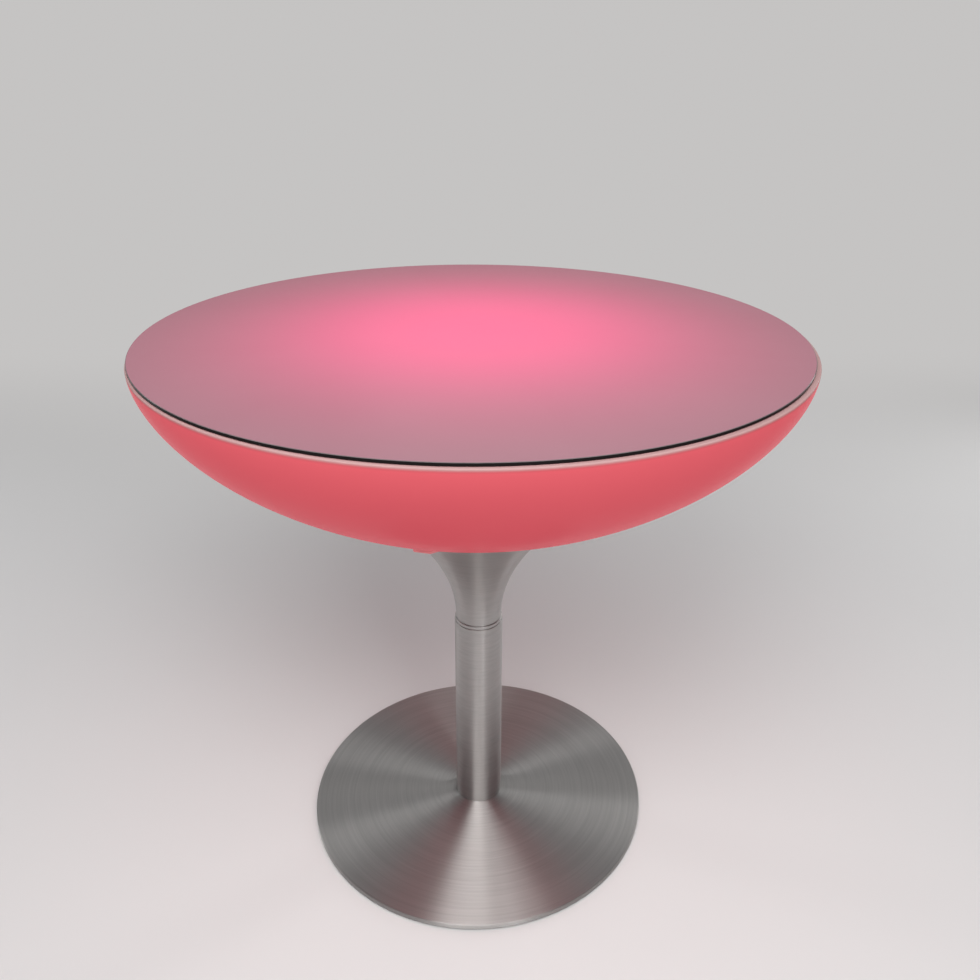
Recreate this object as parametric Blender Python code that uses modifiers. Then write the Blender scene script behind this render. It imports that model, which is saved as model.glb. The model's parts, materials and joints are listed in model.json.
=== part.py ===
"""Light-up lounge table, 75 cm high, with a lit bowl under a loose glass top.

From the floor up: a flat round base, a round tube, a flared spun neck, a
translucent bowl and a satin glass disc that lies on the bowl's rim. One long
rod clamps the base, the column and the bowl together. The lighting module and
its batteries stand on the bowl's floor, and a small control pod with a button
and a charging socket is let into the bowl's underside.

Metres, +Z up. The origin is the middle of the footprint on the floor, and the
pod lies towards -Y, the front.
"""
from math import acos, asin, cos, hypot, pi, radians, sin, tau

import bmesh
import bpy
from mathutils import Matrix, Vector

# The table as a whole
TABLE_HEIGHT = 0.750
RIM_DIAMETER = 0.840
BASE_DIAMETER = 0.500
COLUMN_DIAMETER = 0.069
FIT = 0.0003
SCREW_CLEARANCE = 0.0003
LARGE_ROUND = 64
MIDDLE_ROUND = 32
SMALL_ROUND = 10

# The glass top, its pads and the rim that it lies in
GLASS_INSET = 0.0035
GLASS_THICKNESS = 0.004
GLASS_ARRIS = 0.0005
GLASS_SHIFT_SHARE = 0.6
PAD_DIAMETER = 0.012
PAD_THICKNESS = 0.0015
PAD_COUNT = 6
LIP_WIDTH = 0.008
LIP_ROUNDING = 0.0017
LEDGE_WIDTH = 0.017
LEDGE_THICKNESS = 0.003
LEDGE_GUSSET = 0.014

# The bowl, a superellipse turned about the axis
BOWL_DEPTH = 0.2453
BOWL_POWER = 1.647
BOWL_WALL = 0.0045
BOWL_POINTS = 11
BOWL_SEAT_DIAMETER = 0.314

# The neck, a parabola that flares from the tube to the bowl
NECK_STEP = 0.0021
NECK_WALL = 0.002
NECK_FLANGE_WIDTH = 0.040
NECK_POINTS = 9

# The tube and the ring between it and the neck
TUBE_LENGTH = 0.310
TUBE_WALL = 0.002
RING_STEP = 0.0007
RING_BAND = 0.005
RING_SPIGOT = 0.016

# The base
FLOOR_PAD_INSET = 0.008
FLOOR_PAD_THICKNESS = 0.0024
WEIGHT_THICKNESS = 0.006
COVER_SHEET = 0.001
COVER_BEND = 0.0015
HUB_HEIGHT = 0.022
HUB_SPIGOT_DIAMETER = 0.052
HUB_WEB = 0.004
BASE_SCREW_COUNT = 4
BASE_SCREW_CIRCLE = 0.036
BASE_SCREW_DIAMETER = 0.006
BASE_SCREW_HEAD = 0.011
BASE_SCREW_LENGTH = 0.018

# The rod through the column, and what it clamps in the bowl
ROD_DIAMETER = 0.012
ROD_OVERHANG = 0.002
CLAMP_OVERHANG = 0.005
CLAMP_THICKNESS = 0.003
WASHER_DIAMETER = 0.024
WASHER_THICKNESS = 0.002
NUT_ACROSS_FLATS = 0.019
NUT_HEIGHT = 0.010

# The lighting module
TRAY_DIAMETER = 0.210
TRAY_WALL = 0.0025
TRAY_HEIGHT = 0.040
TRAY_HOLE_DIAMETER = 0.028
POST_COUNT = 3
POST_INSET = 0.017
POST_DIAMETER = 0.010
BOARD_DROP = 0.0085
BOARD_THICKNESS = 0.0016
BOARD_INSET = 0.007
BOARD_SCREW_DIAMETER = 0.003
BOARD_SCREW_HEAD = 0.0055
BOARD_SCREW_HEAD_HEIGHT = 0.002
BOARD_SCREW_LENGTH = 0.010
MODULE_SCREW_ANGLES = (60, 120, 240, 300)
MODULE_SCREW_INSET = 0.020
MODULE_SCREW_DIAMETER = 0.004
MODULE_SCREW_HEAD = 0.0075
MODULE_SCREW_HEAD_HEIGHT = 0.003
EMITTER_COUNT = 8
EMITTER_CIRCLE = 0.124
EMITTER_SIZE = 0.005
EMITTER_HEIGHT = 0.0016
SENSOR_DIAMETER = 0.006
SENSOR_HEIGHT = 0.007
DOME_HEIGHT = 0.032
DOME_WALL = 0.002
DOME_SKIRT = 0.0025
DOME_POINTS = 6

# The batteries and the control board
BATTERY_WIDTH = 0.034
BATTERY_LENGTH = 0.100
BATTERY_HEIGHT = 0.021
BATTERY_GAP = 0.0062
BATTERY_EDGE = 0.004
CONTROL_WIDTH = 0.040
CONTROL_LENGTH = 0.030
CONTROL_GAP = 0.001
CONTROL_PEDESTAL = 0.004
CONTROL_MARGIN = 0.003
CHIP_SIZE = 0.009
CHIP_HEIGHT = 0.003
CONNECTOR_WIDTH = 0.016
CONNECTOR_LENGTH = 0.007
CONNECTOR_HEIGHT = 0.006
LEAD_DIAMETER = 0.0026

# The control pod in the bowl's underside
POD_CIRCLE = 0.440
POD_TURN = radians(-105)
POD_WIDTH = 0.022
POD_LENGTH = 0.046
POD_PROUD = 0.0045
POD_ROUNDING = 0.002
STEM_WIDTH = 0.017
STEM_LENGTH = 0.032
STEM_REACH = 0.012
BUTTON_OFFSET = 0.0085
BUTTON_DIAMETER = 0.012
BUTTON_HEIGHT = 0.0055
BUTTON_PROUD = 0.0008
BUTTON_EDGE = 0.0006
BUTTON_TRAVEL = 0.0015
SOCKET_OFFSET = 0.0065
SOCKET_DIAMETER = 0.010
SOCKET_BORE = 0.0064
SOCKET_BORE_DEPTH = 0.009
SOCKET_PIN = 0.002
SOCKET_RECESS = 0.0006
FLAP_WIDTH = 0.012
FLAP_THICKNESS = 0.0014
FLAP_BOSS_DIAMETER = 0.0052
FLAP_BOSS_HEIGHT = 0.0012
FLAP_TIP_GAP = 0.003
HINGE_OFFSET = 0.0145
HINGE_PIN_DIAMETER = 0.001
HINGE_BARREL_DIAMETER = 0.0026
PIN_SEAT = 0.003
RETAINER_WIDTH = 0.026
RETAINER_THICKNESS = 0.002
RETAINER_SEAT = 0.0013
POD_SCREW_OFFSET = 0.0193
POD_SCREW_DIAMETER = 0.003
POD_SCREW_HEAD = 0.0055
POD_SCREW_HEAD_HEIGHT = 0.002
POD_SCREW_DEPTH = 0.003

# The cable from the pod to the module, and its clip
CABLE_DIAMETER = 0.0044
CABLE_RISE = 0.010
CABLE_LIFT = 0.0026
CABLE_TAIL = 0.018
CABLE_HOLE_CLEARANCE = 0.0008
CLIP_SHARE = 0.3
CLIP_WIDTH = 0.014
CLIP_LENGTH = 0.009
CLIP_WALL = 0.0016

# Widths and places that follow
RIM_RADIUS = RIM_DIAMETER / 2
BASE_RADIUS = BASE_DIAMETER / 2
COLUMN_RADIUS = COLUMN_DIAMETER / 2
TRAY_RADIUS = TRAY_DIAMETER / 2
GLASS_RADIUS = RIM_RADIUS - GLASS_INSET
NECK_ROOT_RADIUS = COLUMN_RADIUS - NECK_STEP
ROD_HOLE_RADIUS = ROD_DIAMETER / 2 + FIT
POST_RADIUS = TRAY_RADIUS - POST_INSET
BATTERY_OFFSET = POST_RADIUS * cos(pi / 6) - POST_DIAMETER / 2 - BATTERY_GAP - BATTERY_WIDTH / 2
CONTROL_OFFSET = BATTERY_LENGTH / 2 + CONTROL_GAP + CONTROL_LENGTH / 2
CLIP_CIRCLE = BOWL_SEAT_DIAMETER + CLIP_SHARE * (POD_CIRCLE - BOWL_SEAT_DIAMETER)
HINGE_Z = POD_PROUD - HINGE_BARREL_DIAMETER / 2
FLAP_LOW = POD_PROUD - FLAP_THICKNESS
FLAP_TIP = SOCKET_OFFSET - SOCKET_DIAMETER / 2 - FLAP_TIP_GAP / 2

# Levels that follow, from the floor up
WEIGHT_Z = FLOOR_PAD_THICKNESS + FIT
WEIGHT_TOP = WEIGHT_Z + WEIGHT_THICKNESS
COVER_TOP = WEIGHT_TOP + FIT + COVER_SHEET
TUBE_Z = COVER_TOP + FIT
RING_Z = TUBE_Z + TUBE_LENGTH + FIT
NECK_Z = RING_Z + RING_BAND + FIT
GLASS_Z = TABLE_HEIGHT - GLASS_THICKNESS
RIM_TOP = GLASS_Z - FIT
BOWL_EQUATOR = RIM_TOP - LIP_ROUNDING
PAD_Z = RIM_TOP - PAD_THICKNESS
LEDGE_Z = PAD_Z - FIT


def turn_at_radius(radius):
    """Where on the bowl's outline a radius lies: 0 at the rim, pi / 2 on the axis."""
    return acos((radius / RIM_RADIUS) ** (BOWL_POWER / 2))


def turn_at_drop(drop):
    """Where on the bowl's outline a depth below the rim lies."""
    return asin((drop / BOWL_DEPTH) ** (BOWL_POWER / 2))


def bowl_normal(turn):
    """Outward direction of the bowl's outline, as shares of radius and height."""
    out = cos(turn) ** (2 - 2 / BOWL_POWER) / RIM_RADIUS
    down = sin(turn) ** (2 - 2 / BOWL_POWER) / BOWL_DEPTH
    return out / hypot(out, down), -down / hypot(out, down)


def bowl_point(turn, inset=0):
    """Radius and height of a point of the outline, moved inwards by inset."""
    out, up = bowl_normal(turn)
    radius = RIM_RADIUS * cos(turn) ** (2 / BOWL_POWER)
    height = BOWL_EQUATOR - BOWL_DEPTH * sin(turn) ** (2 / BOWL_POWER)
    return radius - inset * out, height - inset * up


SEAT_TURN = turn_at_radius(BOWL_SEAT_DIAMETER / 2)
SEAT_Z = bowl_point(SEAT_TURN)[1]
FLOOR_TOP = bowl_point(SEAT_TURN, BOWL_WALL)[1]
NECK_TOP = SEAT_Z - FIT
CLAMP_Z = FLOOR_TOP + FIT
CLAMP_TOP = CLAMP_Z + CLAMP_THICKNESS
WASHER_Z = CLAMP_TOP + FIT
NUT_Z = WASHER_Z + WASHER_THICKNESS + FIT
ROD_TOP = NUT_Z + NUT_HEIGHT + ROD_OVERHANG
TRAY_Z = CLAMP_TOP + FIT
TRAY_FLOOR = TRAY_Z + TRAY_WALL
TRAY_TOP = TRAY_Z + TRAY_HEIGHT
BOARD_Z = TRAY_TOP - BOARD_DROP
CONTROL_Z = TRAY_FLOOR + CONTROL_PEDESTAL + FIT
CABLE_ENTRY_Z = CONTROL_Z + BOARD_THICKNESS + CONNECTOR_HEIGHT / 2


def spread(first, last, count):
    """Evenly spaced values from first to last, both included."""
    return [first + (last - first) * step / (count - 1) for step in range(count)]


def polar(radius, angle, height=0):
    return Vector((radius * cos(angle), radius * sin(angle), height))


def arc(centre_r, centre_z, radius, start, stop, count):
    """Points of an arc in the profile plane, angles in degrees from +X to +Z."""
    return [(centre_r + radius * cos(radians(angle)), centre_z + radius * sin(radians(angle)))
            for angle in spread(start, stop, count)]


def start_collections():
    for obj in list(bpy.data.objects):
        bpy.data.objects.remove(obj)
    made = []
    for name in ("light_up_table", "cutters"):
        collection = bpy.data.collections.new(name)
        bpy.context.scene.collection.children.link(collection)
        made.append(collection)
    return made


TABLE, CUTTERS = start_collections()


def coat(obj, colour, roughness, metallic=0, alpha=1, glow=0):
    """Give the object a material of its own, named after it."""
    made = bpy.data.materials.new(obj.name)
    made.use_nodes = True
    shader = made.node_tree.nodes["Principled BSDF"]
    shader.inputs["Base Color"].default_value = (*colour, 1)
    shader.inputs["Roughness"].default_value = roughness
    shader.inputs["Metallic"].default_value = metallic
    shader.inputs["Alpha"].default_value = alpha
    shader.inputs["Emission Color"].default_value = (*colour, 1)
    shader.inputs["Emission Strength"].default_value = glow
    obj.data.materials.append(made)
    return obj


BRUSHED = ((0.62, 0.61, 0.60), 0.32, 1)
STEEL = ((0.50, 0.50, 0.52), 0.35, 1)
RUBBER = ((0.03, 0.03, 0.03), 0.8)
CLEAR = ((0.85, 0.85, 0.85), 0.3, 0, 0.6)
CREAM = ((0.85, 0.80, 0.76), 0.4)
BLACK = ((0.02, 0.02, 0.02), 0.45)
CORAL = ((0.80, 0.16, 0.17), 0.22, 0, 1, 0.4)
PINK_GLASS = ((0.80, 0.35, 0.42), 0.3, 0, 0.8, 0.2)
OPAL = ((0.95, 0.80, 0.80), 0.4, 0, 0.9, 0.6)
BOARD_WHITE = ((0.85, 0.86, 0.84), 0.5)
BOARD_GREEN = ((0.03, 0.20, 0.08), 0.5)
EMITTER = ((1.0, 0.30, 0.35), 0.4, 0, 1, 2)
BATTERY_BLUE = ((0.05, 0.16, 0.45), 0.35)


def place(name, mesh, finish=None, location=(0, 0, 0), parent=None, turn=0):
    """Put a mesh in the scene: a piece if it has a finish, else a hidden tool."""
    obj = bpy.data.objects.new(name, mesh)
    obj.location = location
    obj.rotation_euler.z = turn
    obj.parent = parent
    if finish:
        TABLE.objects.link(obj)
        coat(obj, *finish)
    else:
        CUTTERS.objects.link(obj)
        obj.hide_render = True
        obj.display_type = 'WIRE'
    return obj


def smooth(mesh):
    mesh.shade_smooth()
    mesh.set_sharp_from_angle(angle=radians(35))
    return mesh


def mesh_from(name, bm):
    mesh = bpy.data.meshes.new(name)
    bm.to_mesh(mesh)
    bm.free()
    return smooth(mesh)


def box_mesh(name, size, centre=(0, 0, 0)):
    bm = bmesh.new()
    shape = Matrix.Translation(centre) @ Matrix.Diagonal((*size, 1))
    bmesh.ops.create_cube(bm, size=1, matrix=shape)
    return mesh_from(name, bm)


def rod_mesh(name, diameter, low, high, sides=SMALL_ROUND, centre=(0, 0), along='Z'):
    """An upright cylinder from low to high, or one laid along X."""
    bm = bmesh.new()
    spot = Matrix.Translation((*centre, (low + high) / 2))
    if along == 'X':
        spot = Matrix.Translation(((low + high) / 2, *centre)) @ Matrix.Rotation(pi / 2, 4, 'Y')
    bmesh.ops.create_cone(bm, cap_ends=True, segments=sides, radius1=diameter / 2,
                          radius2=diameter / 2, depth=high - low, matrix=spot)
    return mesh_from(name, bm)


def turned(name, outline, sides, finish=None, closed=True, **placing):
    """A profile at +X, down its outer side, turned once about the object's Z."""
    edges = [(step, step + 1) for step in range(len(outline) - 1)]
    if closed:
        edges.append((len(outline) - 1, 0))
    mesh = bpy.data.meshes.new(name)
    mesh.from_pydata([(radius, 0, height) for radius, height in outline], edges, [])
    obj = place(name, mesh, finish, **placing)
    screw = obj.modifiers.new("turn", 'SCREW')
    screw.steps = sides
    screw.render_steps = sides
    screw.use_merge_vertices = True
    screw.merge_threshold = 0.00001
    return obj


def carve(obj, tool, operation='DIFFERENCE'):
    boolean = obj.modifiers.new(tool.name, 'BOOLEAN')
    boolean.operation = operation
    boolean.object = tool
    return obj


def soften(obj, width, segments=2):
    bevel = obj.modifiers.new("rounding", 'BEVEL')
    bevel.width = width
    bevel.segments = segments
    return obj


def cable(name, points, diameter, finish, parent=None):
    """A round cable through the points, drawn as a smooth curve in short steps."""
    knots = [Vector(point) for point in points]
    knots = [2 * knots[0] - knots[1]] + knots + [2 * knots[-1] - knots[-2]]
    path = []
    for first in range(len(knots) - 3):
        a, b, c, d = knots[first:first + 4]
        steps = max(2, round((c - b).length / (3 * diameter)))
        for step in range(steps):
            t = step / steps
            path.append(b + (c - a) * t / 2 + (a - 2.5 * b + 2 * c - d / 2) * t ** 2
                        + (1.5 * b - 1.5 * c + d / 2 - a / 2) * t ** 3)
    path.append(knots[-2])
    curve = bpy.data.curves.new(name, 'CURVE')
    curve.dimensions = '3D'
    curve.bevel_depth = diameter / 2
    curve.bevel_resolution = 2
    curve.use_fill_caps = True
    spline = curve.splines.new('POLY')
    spline.points.add(len(path) - 1)
    for point, spot in zip(spline.points, path):
        point.co = (*spot, 1)
    return place(name, curve, finish, parent=parent)


def glass_and_pads():
    """The loose glass disc, lying a little off centre on the rim, and its clear pads."""
    edge, top = GLASS_RADIUS, GLASS_THICKNESS
    outline = [(0, top), (edge - GLASS_ARRIS, top), (edge, top - GLASS_ARRIS),
               (edge, GLASS_ARRIS), (edge - GLASS_ARRIS, 0), (0, 0)]
    turned("glass_top", outline, LARGE_ROUND, PINK_GLASS, closed=False,
           location=(-GLASS_SHIFT_SHARE * GLASS_INSET, 0, GLASS_Z))
    circle = RIM_RADIUS - LIP_WIDTH - LEDGE_WIDTH / 2
    for number in range(PAD_COUNT):
        spot = polar(circle, tau * (number + 0.5) / PAD_COUNT, PAD_Z)
        name = f"glass_pad_{number + 1}"
        place(name, rod_mesh(name, PAD_DIAMETER, 0, PAD_THICKNESS), CLEAR, location=spot)


def bowl():
    """The translucent bowl: a lip, a ledge for the glass's pads and a flat seat."""
    ledge_turn = turn_at_drop(BOWL_EQUATOR - LEDGE_Z + LEDGE_GUSSET)
    lip_edge = RIM_RADIUS - LIP_WIDTH
    ledge_edge = lip_edge - LEDGE_WIDTH
    outline = arc(RIM_RADIUS - LIP_ROUNDING, BOWL_EQUATOR, LIP_ROUNDING, 90, 0, 4)
    outline += [bowl_point(turn) for turn in spread(0, SEAT_TURN, BOWL_POINTS)[1:]]
    outline += [(ROD_HOLE_RADIUS, SEAT_Z), (ROD_HOLE_RADIUS, FLOOR_TOP)]
    outline += [bowl_point(turn, BOWL_WALL) for turn in spread(SEAT_TURN, ledge_turn, BOWL_POINTS - 1)]
    outline += [(ledge_edge, LEDGE_Z - LEDGE_THICKNESS), (ledge_edge, LEDGE_Z), (lip_edge, LEDGE_Z),
                (lip_edge, RIM_TOP)]
    return turned("bowl_shell", outline, LARGE_ROUND, CORAL)


def neck_radius(height):
    """The neck's outer radius at a height, on a parabola with its root at the tube."""
    share = (height - NECK_Z) / (NECK_TOP - NECK_Z)
    return NECK_ROOT_RADIUS + (BOWL_SEAT_DIAMETER / 2 - NECK_ROOT_RADIUS) * share ** 2


def neck():
    """The spun neck, with an inward flange under the bowl's seat."""
    outer, inner = [], []
    for height in spread(NECK_TOP, NECK_Z, NECK_POINTS):
        flare = 2 * (neck_radius(height) - NECK_ROOT_RADIUS) / max(height - NECK_Z, FIT)
        outer.append((neck_radius(height), height))
        inner.append((neck_radius(height) - NECK_WALL / hypot(1, flare),
                      height + NECK_WALL * flare / hypot(1, flare)))
    under = NECK_TOP - NECK_WALL
    inner = [point for point in inner if point[1] < under]
    flange = BOWL_SEAT_DIAMETER / 2 - NECK_FLANGE_WIDTH
    corner = neck_radius(under) - NECK_WALL
    outline = outer + inner[::-1] + [(corner, under), (flange, under), (flange, NECK_TOP)]
    turned("flared_neck", outline, MIDDLE_ROUND, BRUSHED)


def column():
    """The tube, the ring that joins it to the neck, and the rod inside them."""
    tube_bore = COLUMN_RADIUS - TUBE_WALL
    tube = [(COLUMN_RADIUS, TUBE_LENGTH), (COLUMN_RADIUS, 0), (tube_bore, 0),
            (tube_bore, TUBE_LENGTH)]
    turned("column_tube", tube, MIDDLE_ROUND, BRUSHED, location=(0, 0, TUBE_Z))
    upper = NECK_ROOT_RADIUS - NECK_WALL - FIT
    lower, rim, hole = tube_bore - FIT, COLUMN_RADIUS - RING_STEP, ROD_HOLE_RADIUS
    ring = [(upper, RING_BAND + RING_SPIGOT), (upper, RING_BAND), (rim, RING_BAND), (rim, 0),
            (lower, 0), (lower, -RING_SPIGOT), (hole, -RING_SPIGOT),
            (hole, RING_BAND + RING_SPIGOT)]
    turned("coupling_ring", ring, MIDDLE_ROUND, BRUSHED, location=(0, 0, RING_Z))
    foot = TUBE_Z + HUB_WEB + FIT
    place("tie_rod", rod_mesh("tie_rod", ROD_DIAMETER, 0, ROD_TOP - foot, 2 * SMALL_ROUND), STEEL,
          location=(0, 0, foot))


def countersunk(name, length, grow, finish, location):
    """A countersunk screw, head down, or with grow and no finish the hole for one."""
    head, shank = BASE_SCREW_HEAD / 2 + grow, BASE_SCREW_DIAMETER / 2 + grow
    outline = [(0, length + grow), (shank, length + grow), (shank, head - shank), (head, 0)]
    if not finish:
        outline += [(head, -WEIGHT_THICKNESS), (0, -WEIGHT_THICKNESS)]
    else:
        outline += [(0, 0)]
    return turned(name, outline, SMALL_ROUND, finish, closed=False, location=location)


def base():
    """Floor pad, weight, brushed cover and hub, with the screws that hold the hub."""
    pad = rod_mesh("floor_pad", 2 * (BASE_RADIUS - FLOOR_PAD_INSET), 0, FLOOR_PAD_THICKNESS,
                   LARGE_ROUND)
    place("floor_pad", pad, RUBBER)
    edge = BASE_RADIUS - COVER_SHEET - FIT
    plate = [(0, WEIGHT_THICKNESS), (edge - COVER_BEND, WEIGHT_THICKNESS),
             (edge, WEIGHT_THICKNESS - COVER_BEND), (edge, 0), (0, 0)]
    weight = turned("base_weight", plate, LARGE_ROUND, STEEL, closed=False, location=(0, 0, WEIGHT_Z))
    bend_z, inner_bend = COVER_TOP - COVER_BEND, COVER_BEND - COVER_SHEET
    hole, rim_z = HUB_SPIGOT_DIAMETER / 2 + FIT, WEIGHT_Z + FIT
    skin = arc(BASE_RADIUS - COVER_BEND, bend_z, COVER_BEND, 90, 0, 4)
    skin += [(BASE_RADIUS, rim_z), (BASE_RADIUS - COVER_SHEET, rim_z)]
    skin += arc(BASE_RADIUS - COVER_BEND, bend_z, inner_bend, 0, 90, 3)
    skin += [(hole, COVER_TOP - COVER_SHEET), (hole, COVER_TOP)]
    turned("base_cover", skin, LARGE_ROUND, BRUSHED)
    body, spigot = COLUMN_RADIUS - TUBE_WALL - FIT, HUB_SPIGOT_DIAMETER / 2
    bore, low = ROD_HOLE_RADIUS, WEIGHT_TOP + FIT - TUBE_Z
    core = [(0, HUB_WEB), (bore, HUB_WEB), (bore, HUB_HEIGHT), (body, HUB_HEIGHT), (body, 0),
            (spigot, 0), (spigot, low), (0, low)]
    hub = turned("base_hub", core, MIDDLE_ROUND, STEEL, closed=False, location=(0, 0, TUBE_Z))
    for number in range(BASE_SCREW_COUNT):
        spot = polar(BASE_SCREW_CIRCLE / 2, tau * (number + 0.5) / BASE_SCREW_COUNT, WEIGHT_Z + FIT)
        name = f"base_screw_{number + 1}"
        countersunk(name, BASE_SCREW_LENGTH, 0, STEEL, spot)
        tool = countersunk(f"{name}_hole", BASE_SCREW_LENGTH, SCREW_CLEARANCE, None, spot)
        carve(weight, tool)
        carve(hub, tool)


def pierced_disc(name, diameter, thickness, hole, sides, finish, level):
    outline = [(diameter / 2, thickness), (diameter / 2, 0), (hole / 2, 0), (hole / 2, thickness)]
    return turned(name, outline, sides, finish, location=(0, 0, level))


def clamp():
    """The steel plate on the bowl's floor, with the rod's washer and nut."""
    hole = 2 * ROD_HOLE_RADIUS
    plate = pierced_disc("clamp_plate", TRAY_DIAMETER + 2 * CLAMP_OVERHANG, CLAMP_THICKNESS, hole,
                         MIDDLE_ROUND, STEEL, CLAMP_Z)
    pierced_disc("rod_washer", WASHER_DIAMETER, WASHER_THICKNESS, hole, 2 * SMALL_ROUND, STEEL,
                 WASHER_Z)
    corner = NUT_ACROSS_FLATS / cos(pi / 6)
    nut = place("rod_nut", rod_mesh("rod_nut", corner, 0, NUT_HEIGHT, 6), STEEL,
                location=(0, 0, NUT_Z))
    bore = rod_mesh("rod_nut_bore", hole, -FIT, NUT_HEIGHT + FIT, 2 * SMALL_ROUND)
    carve(nut, place("rod_nut_bore", bore, location=(0, 0, NUT_Z)))
    return plate


def pan_screw(name, diameter, length, head, head_height, location, parent=None):
    """A screw with a flat round head above its origin and the shank below it."""
    outline = [(0, head_height), (head / 2, head_height), (head / 2, 0), (diameter / 2, 0),
               (diameter / 2, -length), (0, -length)]
    return turned(name, outline, SMALL_ROUND, STEEL, closed=False, location=location,
                  parent=parent)


def module_tray(plate):
    """The module's round tray, its posts and pedestal, and the screws in its floor."""
    edge, bore = TRAY_RADIUS, TRAY_HOLE_DIAMETER / 2
    cup = [(edge, TRAY_HEIGHT), (edge, 0), (bore, 0), (bore, TRAY_WALL),
           (edge - TRAY_WALL, TRAY_WALL), (edge - TRAY_WALL, TRAY_HEIGHT)]
    tray = turned("module_tray", cup, MIDDLE_ROUND, CREAM, location=(0, 0, TRAY_Z))
    post_top = TRAY_HEIGHT - BOARD_DROP - FIT
    board_holes = []
    for number in range(POST_COUNT):
        spot = polar(POST_RADIUS, pi / 2 + tau * number / POST_COUNT, TRAY_Z)
        post = rod_mesh(f"post_{number + 1}", POST_DIAMETER, TRAY_WALL / 2, post_top)
        carve(tray, place(f"post_{number + 1}", post, location=spot), 'UNION')
        name = f"board_screw_{number + 1}"
        seat = spot + Vector((0, 0, TRAY_HEIGHT - BOARD_DROP + BOARD_THICKNESS + FIT))
        pan_screw(name, BOARD_SCREW_DIAMETER, BOARD_SCREW_LENGTH, BOARD_SCREW_HEAD,
                  BOARD_SCREW_HEAD_HEIGHT, seat)
        hole = rod_mesh(f"{name}_hole", BOARD_SCREW_DIAMETER + 2 * SCREW_CLEARANCE,
                        -BOARD_SCREW_LENGTH - FIT, BOARD_SCREW_HEAD_HEIGHT)
        tool = place(f"{name}_hole", hole, location=seat)
        carve(tray, tool)
        board_holes.append(tool)
    pedestal = box_mesh("pedestal", (CONTROL_WIDTH - 2 * CONTROL_MARGIN,
                                     CONTROL_LENGTH - 2 * CONTROL_MARGIN,
                                     CONTROL_PEDESTAL + TRAY_WALL / 2),
                        (0, -CONTROL_OFFSET, TRAY_WALL / 2 + (CONTROL_PEDESTAL + TRAY_WALL / 2) / 2))
    carve(tray, place("pedestal", pedestal, location=(0, 0, TRAY_Z)), 'UNION')
    reach = TRAY_WALL + FIT + CLAMP_THICKNESS
    for number, angle in enumerate(MODULE_SCREW_ANGLES):
        spot = polar(edge - MODULE_SCREW_INSET, radians(angle), TRAY_FLOOR + FIT)
        name = f"module_screw_{number + 1}"
        pan_screw(name, MODULE_SCREW_DIAMETER, reach, MODULE_SCREW_HEAD,
                  MODULE_SCREW_HEAD_HEIGHT, spot)
        hole = rod_mesh(f"{name}_hole", MODULE_SCREW_DIAMETER + 2 * SCREW_CLEARANCE,
                        -reach - 2 * FIT, MODULE_SCREW_HEAD_HEIGHT)
        tool = place(f"{name}_hole", hole, location=spot)
        carve(tray, tool)
        carve(plate, tool)
    entry = rod_mesh("cable_entry", CABLE_DIAMETER + 2 * CABLE_HOLE_CLEARANCE,
                     edge - 2 * TRAY_WALL, edge + TRAY_WALL, along='X')
    carve(tray, place("cable_entry", entry, location=(0, 0, CABLE_ENTRY_Z), turn=POD_TURN))
    return board_holes


def light_board(holes):
    """The round board with its ring of emitters and the remote-control sensor."""
    disc = rod_mesh("led_board", TRAY_DIAMETER - 2 * BOARD_INSET, 0, BOARD_THICKNESS, MIDDLE_ROUND)
    board = place("led_board", disc, BOARD_WHITE, location=(0, 0, BOARD_Z))
    for tool in holes:
        carve(board, tool)
    level = BOARD_Z + BOARD_THICKNESS + FIT
    for number in range(EMITTER_COUNT):
        name, angle = f"led_emitter_{number + 1}", tau * number / EMITTER_COUNT
        chip = box_mesh(name, (EMITTER_SIZE, EMITTER_SIZE, EMITTER_HEIGHT), (0, 0, EMITTER_HEIGHT / 2))
        place(name, chip, EMITTER, location=polar(EMITTER_CIRCLE / 2, angle, level), turn=angle)
    sensor = rod_mesh("remote_sensor", SENSOR_DIAMETER, 0, SENSOR_HEIGHT)
    place("remote_sensor", sensor, BLACK, location=(0, 0, level))


def dome():
    """The opal dome that snaps into the tray's rim and spreads the light."""
    edge, inside = TRAY_RADIUS, TRAY_RADIUS - TRAY_WALL - FIT
    outline = [(edge * cos(turn), DOME_HEIGHT * sin(turn)) for turn in spread(pi / 2, 0, DOME_POINTS)]
    outline[0] = (0, DOME_HEIGHT)
    outline += [(inside, 0), (inside, -DOME_SKIRT), (inside - DOME_WALL, -DOME_SKIRT)]
    hollow = [((inside - DOME_WALL) * cos(turn), (DOME_HEIGHT - DOME_WALL) * sin(turn))
              for turn in spread(0, pi / 2, DOME_POINTS)]
    hollow[-1] = (0, DOME_HEIGHT - DOME_WALL)
    turned("diffuser_dome", outline + hollow, MIDDLE_ROUND, OPAL, closed=False,
           location=(0, 0, TRAY_TOP + FIT))


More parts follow.
